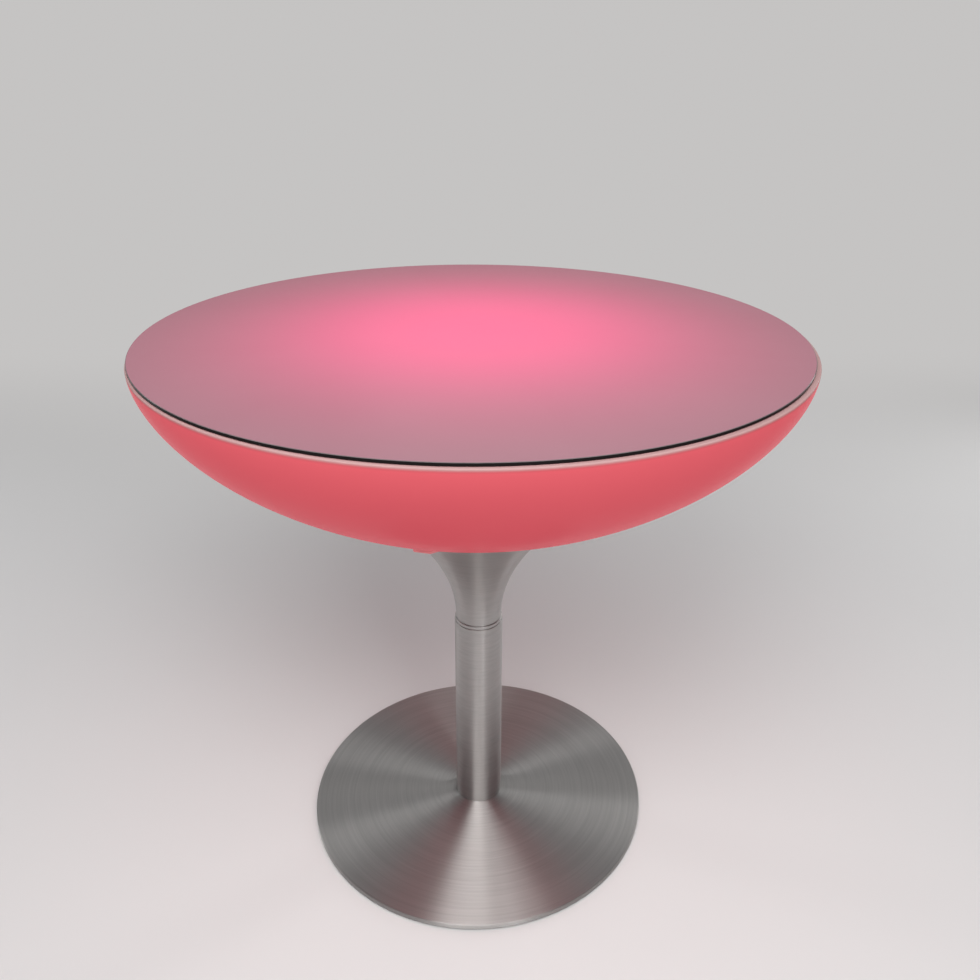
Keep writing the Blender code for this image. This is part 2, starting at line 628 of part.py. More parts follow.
def power_parts():
    """Two battery packs, the control board and the leads between them."""
    for side, name in ((-1, "left"), (1, "right")):
        pack = box_mesh(f"battery_{name}", (BATTERY_WIDTH, BATTERY_LENGTH, BATTERY_HEIGHT),
                        (0, 0, BATTERY_HEIGHT / 2))
        made = place(f"battery_{name}", pack, BATTERY_BLUE,
                     location=(side * BATTERY_OFFSET, 0, TRAY_FLOOR + FIT))
        soften(made, BATTERY_EDGE)
        level = CONTROL_Z + BOARD_THICKNESS / 2
        start = (side * BATTERY_OFFSET, -BATTERY_LENGTH / 2 - FIT)
        end = (side * (CONTROL_WIDTH / 2 + FIT), -CONTROL_OFFSET)
        bend = (start[0], end[1] + BATTERY_EDGE)
        cable(f"battery_lead_{name}", [(*start, level), (*bend, level), (*end, level)],
              LEAD_DIAMETER, BLACK)
    middle = (0, -CONTROL_OFFSET)
    board = place("control_board",
                  box_mesh("control_board", (CONTROL_WIDTH, CONTROL_LENGTH, BOARD_THICKNESS),
                           (0, 0, BOARD_THICKNESS / 2)), BOARD_GREEN, location=(*middle, CONTROL_Z))
    chip = box_mesh("chip", (CHIP_SIZE, CHIP_SIZE, CHIP_HEIGHT), (0, CHIP_SIZE / 2, CHIP_HEIGHT / 2))
    plug = box_mesh("connector", (CONNECTOR_WIDTH, CONNECTOR_LENGTH, CONNECTOR_HEIGHT),
                    (0, -CONNECTOR_LENGTH, CONNECTOR_HEIGHT / 2))
    for mesh in (chip, plug):
        tool = place(mesh.name, mesh, location=(*middle, CONTROL_Z + BOARD_THICKNESS / 2))
        carve(board, tool, 'UNION')
    top = CONTROL_Z + BOARD_THICKNESS + FIT
    foot = (CHIP_SIZE + LEAD_DIAMETER, -CONTROL_OFFSET + CHIP_SIZE / 2)
    cable("led_lead", [(*foot, top), (*foot, (top + BOARD_Z) / 2), (*foot, BOARD_Z - FIT)],
          LEAD_DIAMETER, BLACK)


def pod_frame():
    """An empty on the bowl's skin: X along the skin's circle, Z straight out of it."""
    turn = turn_at_radius(POD_CIRCLE / 2)
    radius, height = bowl_point(turn)
    out, up = bowl_normal(turn)
    across = Vector((-sin(POD_TURN), cos(POD_TURN), 0))
    outward = polar(out, POD_TURN, up)
    frame = Matrix((across, outward.cross(across), outward)).transposed().to_4x4()
    frame.translation = polar(radius, POD_TURN, height)
    empty = bpy.data.objects.new("pod_frame", None)
    empty.matrix_world = frame
    TABLE.objects.link(empty)
    return empty


def skin_block():
    """A solid of the bowl's outer shape with the fitting gap added, as a cutter."""
    outline = [(0, BOWL_EQUATOR)]
    outline += [bowl_point(turn, -FIT) for turn in spread(0, SEAT_TURN, BOWL_POINTS)]
    outline += [(0, bowl_point(SEAT_TURN, -FIT)[1])]
    return turned("bowl_skin", outline, LARGE_ROUND, closed=False)


def pod_housing(frame, shell):
    """The pod's body, shaped to the bowl, with a stem through the bowl's wall."""
    depth = POD_PROUD + BOWL_WALL
    plate = box_mesh("pod_housing", (POD_WIDTH, POD_LENGTH, depth), (0, 0, POD_PROUD - depth / 2))
    pod = place("pod_housing", plate, CREAM, parent=frame)
    soften(pod, POD_ROUNDING)
    carve(pod, skin_block())
    length = STEM_REACH + POD_PROUD / 2
    middle = POD_PROUD / 2 - length / 2
    stem = box_mesh("pod_stem", (STEM_WIDTH, STEM_LENGTH, length), (0, 0, middle))
    carve(pod, place("pod_stem", stem, parent=frame), 'UNION')
    window = box_mesh("pod_window", (STEM_WIDTH + 2 * FIT, STEM_LENGTH + 2 * FIT, length),
                      (0, 0, middle))
    window = place("pod_window", window, parent=frame)
    carve(shell, window)
    barrel = HINGE_BARREL_DIAMETER / 2 + FIT
    for name, low, high, floor in (
            ("leaf_pocket", FLAP_TIP - FIT, HINGE_OFFSET, FLAP_LOW - FIT),
            ("barrel_pocket", HINGE_OFFSET - barrel, HINGE_OFFSET + barrel, HINGE_Z - barrel)):
        pocket = box_mesh(name, (FLAP_WIDTH + 2 * FIT, high - low, POD_PROUD),
                          (0, (low + high) / 2, floor + POD_PROUD / 2))
        carve(pod, place(name, pocket, parent=frame))
    half = FLAP_WIDTH / 2 + FIT + PIN_SEAT
    pin_hole = rod_mesh("hinge_pin_hole", HINGE_PIN_DIAMETER + 2 * FIT, -half - FIT, POD_WIDTH,
                        centre=(HINGE_OFFSET, HINGE_Z), along='X')
    pin_room = place("hinge_pin_hole", pin_hole, parent=frame)
    carve(pod, pin_room)
    pin = rod_mesh("hinge_pin", HINGE_PIN_DIAMETER, -half, half, along='X')
    place("hinge_pin", pin, STEEL, location=(0, HINGE_OFFSET, HINGE_Z), parent=frame)
    well = POD_PROUD + BUTTON_PROUD - BUTTON_HEIGHT - BUTTON_TRAVEL - FIT
    button_well = rod_mesh("button_well", BUTTON_DIAMETER + 2 * FIT, well, 2 * POD_PROUD,
                           2 * SMALL_ROUND, (0, -BUTTON_OFFSET))
    carve(pod, place("button_well", button_well, parent=frame))
    socket_well = rod_mesh("socket_well", SOCKET_DIAMETER + 2 * FIT, -2 * STEM_REACH, 2 * POD_PROUD,
                           2 * SMALL_ROUND, (0, SOCKET_OFFSET))
    carve(pod, place("socket_well", socket_well, parent=frame))
    return pod, window, pin_room


def pod_fittings(frame, pin_room):
    """The button, the charging socket and the hinged flap that covers it."""
    cap, edge = BUTTON_DIAMETER / 2, BUTTON_EDGE
    outline = [(0, BUTTON_HEIGHT), (cap - edge, BUTTON_HEIGHT), (cap, BUTTON_HEIGHT - edge),
               (cap, 0), (0, 0)]
    turned("power_button", outline, 2 * SMALL_ROUND, RUBBER, closed=False, parent=frame,
           location=(0, -BUTTON_OFFSET, POD_PROUD + BUTTON_PROUD - BUTTON_HEIGHT))
    top, body = FLAP_LOW - FIT - SOCKET_RECESS, SOCKET_DIAMETER / 2
    well, pin = SOCKET_BORE / 2, SOCKET_PIN / 2
    barrel = [(0, -SOCKET_PIN), (pin, -SOCKET_PIN), (pin, -SOCKET_BORE_DEPTH),
              (well, -SOCKET_BORE_DEPTH), (well, 0), (body, 0), (body, -top - STEM_REACH + FIT),
              (0, -top - STEM_REACH + FIT)]
    turned("charging_socket", barrel, 2 * SMALL_ROUND, STEEL, closed=False, parent=frame,
           location=(0, SOCKET_OFFSET, top))
    length = HINGE_OFFSET - FLAP_TIP
    leaf = box_mesh("socket_flap", (FLAP_WIDTH, length, FLAP_THICKNESS),
                    (0, -length / 2, FLAP_LOW - HINGE_Z + FLAP_THICKNESS / 2))
    flap = place("socket_flap", leaf, RUBBER, location=(0, HINGE_OFFSET, HINGE_Z), parent=frame)
    roll = rod_mesh("flap_barrel", HINGE_BARREL_DIAMETER, -FLAP_WIDTH / 2, FLAP_WIDTH / 2, along='X')
    carve(flap, place("flap_barrel", roll, location=(0, HINGE_OFFSET, HINGE_Z), parent=frame), 'UNION')
    boss = rod_mesh("flap_boss", FLAP_BOSS_DIAMETER, FLAP_LOW - FLAP_BOSS_HEIGHT,
                    FLAP_LOW + FLAP_THICKNESS / 2, SMALL_ROUND, (0, SOCKET_OFFSET))
    carve(flap, place("flap_boss", boss, parent=frame), 'UNION')
    carve(flap, pin_room)


def pod_retainer(frame, pod, shell, window):
    """The frame inside the bowl that two screws pull against the pod."""
    low = -BOWL_WALL - RETAINER_SEAT
    plate = box_mesh("pod_retainer", (RETAINER_WIDTH, POD_LENGTH, RETAINER_THICKNESS),
                     (0, 0, low - RETAINER_THICKNESS / 2))
    made = place("pod_retainer", plate, CREAM, parent=frame)
    carve(made, window)
    for side, name in ((-1, "pod_screw_1"), (1, "pod_screw_2")):
        spot = Vector((0, side * POD_SCREW_OFFSET, low - RETAINER_THICKNESS - FIT))
        depth = POD_SCREW_DEPTH - spot.z
        screw = pan_screw(name, POD_SCREW_DIAMETER, depth, POD_SCREW_HEAD, POD_SCREW_HEAD_HEIGHT,
                          spot, frame)
        screw.rotation_euler.x = pi
        hole = rod_mesh(f"{name}_hole", POD_SCREW_DIAMETER + 2 * SCREW_CLEARANCE,
                        low - RETAINER_THICKNESS - FIT, POD_SCREW_DEPTH + FIT, SMALL_ROUND,
                        (0, side * POD_SCREW_OFFSET))
        tool = place(f"{name}_hole", hole, parent=frame)
        for piece in (made, shell, pod):
            carve(piece, tool)


def skin_inside(circle, lift):
    """Radius and height of a place above the bowl's inner skin."""
    return bowl_point(turn_at_radius(circle / 2), BOWL_WALL + lift)


def pod_cable(frame):
    """The cable from the pod's stem, down the bowl's inside and into the tray."""
    bpy.context.view_layer.update()
    stem_end = Vector((0, 0, -STEM_REACH - 2 * FIT))
    start = frame.matrix_world @ stem_end
    rise = frame.matrix_world @ (stem_end - Vector((0, 0, CABLE_RISE / 2)))
    over = frame.matrix_world @ (stem_end - Vector((0, CABLE_RISE / 2, 1.5 * CABLE_RISE)))
    lift = CABLE_DIAMETER / 2 + CABLE_LIFT
    points = [start, rise, over]
    for circle in ((POD_CIRCLE + CLIP_CIRCLE) / 2 - CABLE_RISE, CLIP_CIRCLE, BOWL_SEAT_DIAMETER):
        points.append(polar(skin_inside(circle, lift)[0], POD_TURN, skin_inside(circle, lift)[1]))
    points += [polar(TRAY_RADIUS + reach, POD_TURN, CABLE_ENTRY_Z)
               for reach in (CABLE_RISE, 0, -CABLE_TAIL)]
    cable("pod_cable", points, CABLE_DIAMETER, BLACK)


def cable_clip():
    """The clip that holds the cable down on the bowl's inside."""
    turn = turn_at_radius(CLIP_CIRCLE / 2)
    out, up = bowl_normal(turn)
    inward = polar(-out, POD_TURN, -up)
    across = Vector((-sin(POD_TURN), cos(POD_TURN), 0))
    radius, height = skin_inside(CLIP_CIRCLE, CABLE_LIFT - FIT)
    frame = Matrix((across, inward.cross(across), inward)).transposed().to_4x4()
    frame.translation = polar(radius, POD_TURN, height)
    tall = CABLE_DIAMETER + CLIP_WALL
    block = box_mesh("cable_clip", (CLIP_WIDTH, CLIP_LENGTH, tall), (0, 0, tall / 2))
    clip = place("cable_clip", block, CREAM)
    clip.matrix_world = frame
    tunnel = box_mesh("clip_tunnel", (CABLE_DIAMETER + 2 * FIT, 2 * CLIP_LENGTH, CABLE_DIAMETER + 2 * FIT),
                      (0, 0, CABLE_DIAMETER / 2))
    tool = place("clip_tunnel", tunnel)
    tool.matrix_world = frame
    carve(clip, tool)


def build():
    glass_and_pads()
    shell = bowl()
    neck()
    column()
    base()
    light_board(module_tray(clamp()))
    dome()
    power_parts()
    frame = pod_frame()
    pod, window, pin_room = pod_housing(frame, shell)
    pod_fittings(frame, pin_room)
    pod_retainer(frame, pod, shell, window)
    pod_cable(frame)
    cable_clip()


build()
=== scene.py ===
# %% [markdown]
# # A light-up lounge table
#
# The real table is a wide translucent bowl on a flared metal neck, with a loose
# disc of satin glass on top and a lamp inside. The parts' sizes and joints come
# from a imported model, which is loaded first and never moved. This file gives each
# part its fine surface and finish, and sets the camera and the lamps.

import json
from math import acos, asin, cos, hypot, pi, radians, sin, tau

import bmesh
import bpy
from mathutils import Matrix, Vector


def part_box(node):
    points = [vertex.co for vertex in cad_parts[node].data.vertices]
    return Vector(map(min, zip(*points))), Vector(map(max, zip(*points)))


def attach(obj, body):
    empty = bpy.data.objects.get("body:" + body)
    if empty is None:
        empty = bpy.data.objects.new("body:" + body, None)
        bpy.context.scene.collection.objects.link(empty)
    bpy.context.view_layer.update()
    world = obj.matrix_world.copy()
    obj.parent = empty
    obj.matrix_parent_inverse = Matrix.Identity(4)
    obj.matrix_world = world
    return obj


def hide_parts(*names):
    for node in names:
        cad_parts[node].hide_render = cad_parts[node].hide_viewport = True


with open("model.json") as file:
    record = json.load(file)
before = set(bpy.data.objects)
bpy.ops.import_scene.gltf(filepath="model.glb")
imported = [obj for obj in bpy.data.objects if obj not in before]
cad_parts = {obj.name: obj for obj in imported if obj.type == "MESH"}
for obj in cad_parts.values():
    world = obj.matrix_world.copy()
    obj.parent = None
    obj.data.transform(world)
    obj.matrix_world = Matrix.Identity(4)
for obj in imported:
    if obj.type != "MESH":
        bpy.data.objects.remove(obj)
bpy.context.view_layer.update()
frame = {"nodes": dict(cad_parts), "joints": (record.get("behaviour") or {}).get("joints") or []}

# %% [markdown]
# ## The camera
#
# The view was solved from the outlines of the glass, the rim and the base. It
# stands 1.12 m in front of the column and 1.06 m up, looks down by 21 degrees and
# is turned a little to the right. The picture was cropped, so its optical centre
# isn't in the middle: that is what the two shift values are for. They are shares
# of the picture's width.

# %% Place the camera
PICTURE = 980
FOCAL_PIXELS = 901.9
OPTICAL_CENTRE = (513.7, 420.0)
CAMERA_PLACE = (0, -1.1168, 1.0613)
CAMERA_TURN = 0.0421
CAMERA_DOWN = 0.3707
CAMERA_ROLL = 0.0137
SENSOR = 36


def aim(turn, down, roll):
    """The camera's axes from its turn to the right, its tilt down and its roll."""
    ahead = Vector((sin(turn) * cos(down), cos(turn) * cos(down), -sin(down)))
    right = Vector((cos(turn), -sin(turn), 0))
    up = right.cross(ahead)
    rolled = cos(roll) * right + sin(roll) * up
    return Matrix((rolled, cos(roll) * up - sin(roll) * right, -ahead)).transposed()


lens = bpy.data.cameras.new("photo_view")
lens.sensor_width = SENSOR
lens.lens = FOCAL_PIXELS / PICTURE * SENSOR
lens.shift_x = (PICTURE / 2 - OPTICAL_CENTRE[0]) / PICTURE
lens.shift_y = (OPTICAL_CENTRE[1] - PICTURE / 2) / PICTURE
camera = bpy.data.objects.new("photo_view", lens)
camera.matrix_world = Matrix.Translation(CAMERA_PLACE) @ aim(
    CAMERA_TURN, CAMERA_DOWN, CAMERA_ROLL).to_4x4()
bpy.context.scene.collection.objects.link(camera)
bpy.context.scene.camera = camera
bpy.context.scene.view_settings.view_transform = 'Standard'
print("lens", round(lens.lens, 2), "mm")

# %% [markdown]
# ## Working by hand, in code
#
# Each new piece starts as a primitive and is shaped in edit mode, as it would be
# by hand. Operators act on whatever is selected, so each start clears the
# selection. A finished piece has its object at the origin with no turn or scale,
# because its place is in its mesh, as it is for the loaded parts.

# %% Helpers for edit mode
ORIGIN = (0, 0, 0)
WELD = 0.00001
ROD_SIDES = 48
SHARP = 35
CRISP = 20


def begin(name, add, **settings):
    """Add a primitive under a name and open it for editing, all selected."""
    bpy.ops.object.select_all(action='DESELECT')
    add(**settings)
    piece = bpy.context.object
    piece.name = piece.data.name = name
    bpy.ops.object.mode_set(mode='EDIT')
    return piece


def end(piece, smooth_angle=SHARP):
    """Leave edit mode, put the object's place in its mesh and shade it."""
    bpy.ops.object.mode_set(mode='OBJECT')
    bpy.ops.object.transform_apply(location=True, rotation=True, scale=True)
    bpy.ops.object.shade_smooth_by_angle(angle=radians(smooth_angle))
    return piece


def pick(piece):
    """Make one piece the only one that operators act on."""
    bpy.ops.object.select_all(action='DESELECT')
    bpy.context.view_layer.objects.active = piece
    piece.select_set(True)


def apply_modifiers(piece):
    """Turn a piece's modifiers into real faces."""
    pick(piece)
    for modifier in list(piece.modifiers):
        bpy.ops.object.modifier_apply(modifier=modifier.name)


def block(name, size, centre, rounding=0, segments=4):
    """A box about a centre, its edges rounded over."""
    piece = begin(name, bpy.ops.mesh.primitive_cube_add, size=1, location=centre)
    bpy.ops.transform.resize(value=size)
    if rounding:
        bpy.ops.mesh.bevel(offset=rounding, segments=segments, affect='EDGES')
    return end(piece)


def rod(name, diameter, low, high, spot=(0, 0), along='Z', top=None):
    """A round bar from low to high, or a cone where top gives a second diameter."""
    middle = (low + high) / 2
    place, turn = ((*spot, middle), ORIGIN) if along == 'Z' else ((middle, *spot), (0, pi / 2, 0))
    return end(begin(name, bpy.ops.mesh.primitive_cone_add, vertices=ROD_SIDES, radius1=diameter / 2,
                     radius2=(top or diameter) / 2, depth=high - low, location=place, rotation=turn))


def cut(piece, tool, operation='DIFFERENCE'):
    """Take a tool's shape out of a piece, or join it on, and throw the tool away."""
    change = piece.modifiers.new(tool.name, 'BOOLEAN')
    change.operation, change.solver, change.object = operation, 'EXACT', tool
    apply_modifiers(piece)
    bpy.ops.object.shade_smooth_by_angle(angle=radians(SHARP))
    bpy.data.objects.remove(tool)


def weld(piece):
    """Close the hair cracks that cuts leave where two tools cross on one edge."""
    pick(piece)
    bpy.ops.object.mode_set(mode='EDIT')
    bpy.ops.mesh.select_all(action='SELECT')
    bpy.ops.mesh.remove_doubles(threshold=WELD)
    bpy.ops.mesh.dissolve_degenerate(threshold=WELD)
    bpy.ops.mesh.normals_make_consistent(inside=False)
    end(piece)


def spread(first, last, count):
    """Evenly spaced numbers from first to last, both of them included."""
    return [first + (last - first) * step / (count - 1) for step in range(count)]


def arc(centre, radius, start, stop, count):
    """Points of an arc in the profile plane, angles in degrees."""
    return [(centre[0] + radius * cos(radians(angle)), centre[1] + radius * sin(radians(angle)))
            for angle in spread(start, stop, count)]


# %% [markdown]
# ## Turned shapes
#
# Almost every part of this table was spun, turned or moulded round one axis. A
# lathe works from half an outline, and so does the Spin operator: one corner is
# extruded from point to point until it has drawn the outline, and the outline is
# swept round the column's axis. Where the sweep meets itself there are double
# corners, which are merged before the faces are turned outwards.

# %% Turn an outline round the column's axis
FINE_STEPS = 160
SMALL_STEPS = 96
MERGE = 0.000002
START_SIZE = 0.001


def turned(name, outline, steps=FINE_STEPS, smooth_angle=SHARP):
    """Draw an outline of (radius, height) points and spin it round Z."""
    first = outline[0]
    piece = begin(name, bpy.ops.mesh.primitive_plane_add, size=START_SIZE,
                  location=(first[0], 0, first[1]))
    bpy.ops.mesh.merge(type='CENTER')
    for here, there in zip(outline, outline[1:]):
        step = (there[0] - here[0], 0, there[1] - here[1])
        bpy.ops.mesh.extrude_region_move(TRANSFORM_OT_translate={"value": step})
    bpy.ops.mesh.select_all(action='SELECT')
    bpy.ops.mesh.spin(steps=steps, angle=tau, center=ORIGIN, axis=(0, 0, 1))
    bpy.ops.mesh.select_all(action='SELECT')
    bpy.ops.mesh.remove_doubles(threshold=MERGE)
    bpy.ops.mesh.select_all(action='SELECT')
    bpy.ops.mesh.normals_make_consistent(inside=False)
    end(piece, smooth_angle)
    print(name, len(piece.data.polygons), "faces")
    return piece


# %% [markdown]
# ## Shader maths as plain expressions
#
# A brushed or glowing finish is a formula: how far a point is from the axis, how
# high it is, and some noise. Wiring that as nodes by hand hides the formula, so a
# small class wraps a node's socket and lets the usual signs add the Math nodes.
# Colours go through Mix nodes, because a Math node would turn them grey. The three
# depths are how far the bumps of a finish stand out: moulded grain, fine etching
# and the hair lines of brushing.

# %% A socket that can be added and multiplied
GRAIN_DEPTH = 0.0002
FINE_DEPTH = 0.0001
HAIR_DEPTH = 0.00005


class Signal:
    """A number that changes over the surface: the output of a shader node."""

    def __init__(self, paint, socket):
        self.paint = paint
        self.socket = socket

    def maths(self, operation, *terms):
        """Add one Math node that works on these terms."""
        return self.paint.node("ShaderNodeMath", {"operation": operation}, dict(enumerate(terms)))

    def __add__(self, other):
        return self.maths('ADD', self, other)

    def __sub__(self, other):
        return self.maths('SUBTRACT', self, other)

    def __rsub__(self, other):
        return self.maths('SUBTRACT', other, self)

    def __mul__(self, other):
        return self.maths('MULTIPLY', self, other)

    def __truediv__(self, other):
        return self.maths('DIVIDE', self, other)

    def __rtruediv__(self, other):
        return self.maths('DIVIDE', other, self)

    def __pow__(self, other):
        return self.maths('POWER', self, other)

    __radd__ = __add__
    __rmul__ = __mul__

    def step(self, low, high):
        """0 below low, 1 above high and a soft climb between them."""
        return self.paint.node("ShaderNodeMapRange", {"interpolation_type": 'SMOOTHSTEP'},
                               {"Value": self, "From Min": low, "From Max": high})


class Paint:
    """A material, with methods that add nodes to it."""

    def __init__(self, name, **constants):
        self.material = bpy.data.materials.new(name)
        self.material.use_nodes = True
        self.tree = self.material.node_tree
        self.shader = self.tree.nodes["Principled BSDF"]
        for socket, value in constants.items():
            self.shader.inputs[socket.replace("_", " ")].default_value = value
        place = self.node("ShaderNodeTexCoord", {}, {}, "Object")
        self.place = place
        split = self.tree.nodes.new("ShaderNodeSeparateXYZ")
        self.tree.links.new(place.socket, split.inputs[0])
        self.x, self.y, self.z = (Signal(self, split.outputs[axis]) for axis in range(3))

    def node(self, kind, settings, inputs, output=0):
        """Add a node: its settings first, then the values or links of its inputs."""
        made = self.tree.nodes.new(kind)
        for name, value in settings.items():
            setattr(made, name, value)
        for name, value in inputs.items():
            if isinstance(value, Signal):
                self.tree.links.new(value.socket, made.inputs[name])
            else:
                made.inputs[name].default_value = value
        return Signal(self, made.outputs[output])

    def radius(self, x=0, y=0):
        """Distance from an upright axis at x and y."""
        return ((self.x - x) ** 2 + (self.y - y) ** 2) ** 0.5

    def point(self, x, y, z):
        """Three numbers put together as a place, for a noise to read."""
        return self.node("ShaderNodeCombineXYZ", {}, {0: x, 1: y, 2: z})

    def noise(self, where, scale, detail=2, roughness=0.5):
        """Soft random patches; a bigger scale makes them finer."""
        return self.node("ShaderNodeTexNoise", {},
                         {"Vector": where, "Scale": scale, "Detail": detail,
                          "Roughness": roughness}, "Fac")

    def mix(self, mask, first, second):
        """A colour between two colours, first where the mask is 0."""
        made = self.tree.nodes.new("ShaderNodeMix")
        made.data_type = 'RGBA'
        for name, value in (("Factor_Float", mask), ("A_Color", first), ("B_Color", second)):
            socket = next(item for item in made.inputs if item.identifier == name)
            if isinstance(value, Signal):
                self.tree.links.new(value.socket, socket)
            else:
                socket.default_value = value if name == "Factor_Float" else (*value, 1)
        wanted = next(item for item in made.outputs if item.identifier == "Result_Color")
        return Signal(self, wanted)

    def feed(self, **links):
        """Link what changes over the surface to the shader's sockets."""
        for name, value in links.items():
            self.tree.links.new(value.socket, self.shader.inputs[name.replace("_", " ")])

    def bump(self, height, strength, depth):
        """Let a height tilt the surface, depth in metres."""
        self.feed(Normal=self.node("ShaderNodeBump", {}, {"Height": height, "Strength": strength,
                                                          "Distance": depth}))

    def backdrop(self, mask, tone):
        """Show an even tone where the mask is 1, to the eye and to mirrors alone."""
        rays = [self.node("ShaderNodeLightPath", {}, {}, name)
                for name in ("Is Camera Ray", "Is Glossy Ray", "Is Transmission Ray")]
        shine = self.node("ShaderNodeEmission", {}, {"Color": (*tone, 1), "Strength": 1})
        mixed = self.node("ShaderNodeMixShader", {}, {0: mask * (rays[0] + rays[1] + rays[2])})
        self.tree.links.new(self.shader.outputs[0], mixed.socket.node.inputs[1])
        self.tree.links.new(shine.socket, mixed.socket.node.inputs[2])
        self.tree.links.new(mixed.socket, self.tree.nodes["Material Output"].inputs[0])


# %% [markdown]
# ## Lit plastic
#
# The bowl is one moulding of milky plastic with a lamp behind it, so it glows by
# itself, and its skin has next to no gloss. A real scattering material would need
# a long render, and the glow would be lost when the model is exported. Here the
# glow is an emission colour instead: coral, a little deeper towards the bottom
# where the wall is further from the lamp's beam. The thick rim at the top blocks
# the light, which fades over a few millimetres into a pale unlit lip. The inside
# faces the lamp and is brighter, so it has its own paint.

# %% Paints for the bowl
LIT_CORAL = (0.388, 0.050, 0.066)
LIT_DEEP = (0.27, 0.022, 0.034)
LIT_INSIDE = (0.80, 0.135, 0.205)
INSIDE_DEEP = (0.62, 0.080, 0.125)
UNLIT = (0.030, 0.016, 0.015)
# The coral skin colours, outside and inside, are painted light: the lamp tints the milky plastic's
# base colour coral, and only the unlit lip keeps its own cream.
LIT_CORAL_SKIN = (0.36, 0.066, 0.076)
LIT_INSIDE_SKIN = (0.42, 0.09, 0.10)
CREAM_SKIN = (0.47, 0.29, 0.285)
LIP_FADE = 0.0055
BOWL_GLOSS = 0.008
INSIDE_GLOSS = 0.2


def plastic_paint(name, near, far, near_z, far_z, gloss):
    """Lit plastic that deepens from near_z to far_z; gloss is its specular level."""
    paint = Paint(name, Specular_IOR_Level=gloss, Emission_Strength=1)
    cloud = paint.noise(paint.place, 6, 3)
    grain = paint.noise(paint.place, 900, 2)
    deep = ((near_z - paint.z) / (near_z - far_z) + (cloud - 0.5) * 0.5).step(0.05, 1.05)
    paint.feed(Roughness=0.20 + cloud * 0.10)
    paint.bump(grain, 0.04, GRAIN_DEPTH)
    return paint, paint.mix(deep, near, far)


def bowl_paint(top, bottom):
    """The bowl's outside, lit below its pale unlit lip."""
    paint, glow = plastic_paint("lit_bowl_plastic", LIT_CORAL, LIT_DEEP, top, bottom, BOWL_GLOSS)
    lip = paint.z.step(top - LIP_FADE * 0.75, top - LIP_FADE * 0.05)
    unlit = paint.z.step(top - LIP_FADE, top - LIP_FADE * 0.1)
    paint.feed(Base_Color=paint.mix(lip, LIT_CORAL_SKIN, CREAM_SKIN),
               Emission_Color=paint.mix(unlit, glow, UNLIT))
    return paint.material


def inside_paint(top, bottom):
    """The bowl's inside, brightest at the bottom, next to the lamp."""
    paint, glow = plastic_paint("bowl_inside", INSIDE_DEEP, LIT_INSIDE, top, bottom, INSIDE_GLOSS)
    cloud = paint.noise(paint.place, 5, 2)
    paint.feed(Base_Color=paint.mix(cloud, LIT_CORAL_SKIN, LIT_INSIDE_SKIN), Emission_Color=glow)
    return paint.material


# %% [markdown]
# ## Satin glass
#
# The glass is etched on its face, so nothing is seen sharply through it: the lamp
# shows as a hot pink pool in the middle that fades towards the rim. The pool's
# falloff is one short formula of the distance from the middle. The etched skin is
# milky, so it also takes the colour of the light above it. Only the polished edge
# is clear glass, and clear glass seen edge on looks almost black: that dark look is
# painted shade, a near-black colour on the side face. The thin ground corner above
# it is a little paler.

# %% Paint for the glass
POOL_RADIUS = 0.26
POOL_COLOUR = (0.84, 0.022, 0.168)
RIM_GLOW = (0.090, 0.012, 0.016)
SATIN = (0.160, 0.155, 0.165)
SATIN_PALE = (0.182, 0.177, 0.188)
EDGE_PAINTED_SHADE = (0.008, 0.008, 0.008)
ARRIS = (0.17, 0.14, 0.145)
UNLIT_EDGE = (0.004, 0.002, 0.002)
GLASS_GLOSS = 0.04
SIDE_FADE = (0.0009, 0.0006)
CORNER_FADE = (0.0007, 0.0003)


def glass_paint(centre_x, radius, top):
    """Etched glass with the lamp's pool of light, and painted shade on its polished edge."""
    paint = Paint("satin_glass", Specular_IOR_Level=GLASS_GLOSS, Emission_Strength=1)
    away = paint.radius(centre_x)
    pool = 1 / (((away / POOL_RADIUS) ** 3) + 1)
    sparkle = paint.noise(paint.place, 2600, 2)
    cloud = paint.noise(paint.place, 5, 3)
    side = away.step(radius - SIDE_FADE[0], radius - SIDE_FADE[1])
    corner = side * paint.z.step(top - CORNER_FADE[0], top - CORNER_FADE[1])
    skin = paint.mix(cloud, SATIN, SATIN_PALE)
    # painted shade: the polished side face is near black
    skin = paint.mix(side, skin, EDGE_PAINTED_SHADE)
    glow = paint.mix(pool, RIM_GLOW, POOL_COLOUR)
    paint.feed(Base_Color=paint.mix(corner, skin, ARRIS),
               Emission_Color=paint.mix(side, glow, UNLIT_EDGE),
               Roughness=(0.22 + sparkle * 0.08) * (1 - side) + side * 0.12)
    paint.bump(sparkle * (1 - side), 0.06, FINE_DEPTH)
    return paint.material


# %% [markdown]
# ## Brushed metal
#
# Brushing leaves thousands of fine grooves that run round the part. Two things
# come from them. Close up there are faint rings of slightly different grey, made
# here from noise that is stretched along the groove. From further away the
# highlight is drawn out across the grooves, into the bright wedges that a brushed
# disc shows: that is the anisotropic value. Its direction starts round Z, along
# the grooves, so a quarter turn lays the highlight across them.

# %% Paints for the base, and for the neck, ring and tube
STEEL = ((0.53, 0.515, 0.50), (0.42, 0.405, 0.395))
ALUMINIUM = ((0.53, 0.515, 0.505), (0.44, 0.43, 0.42))


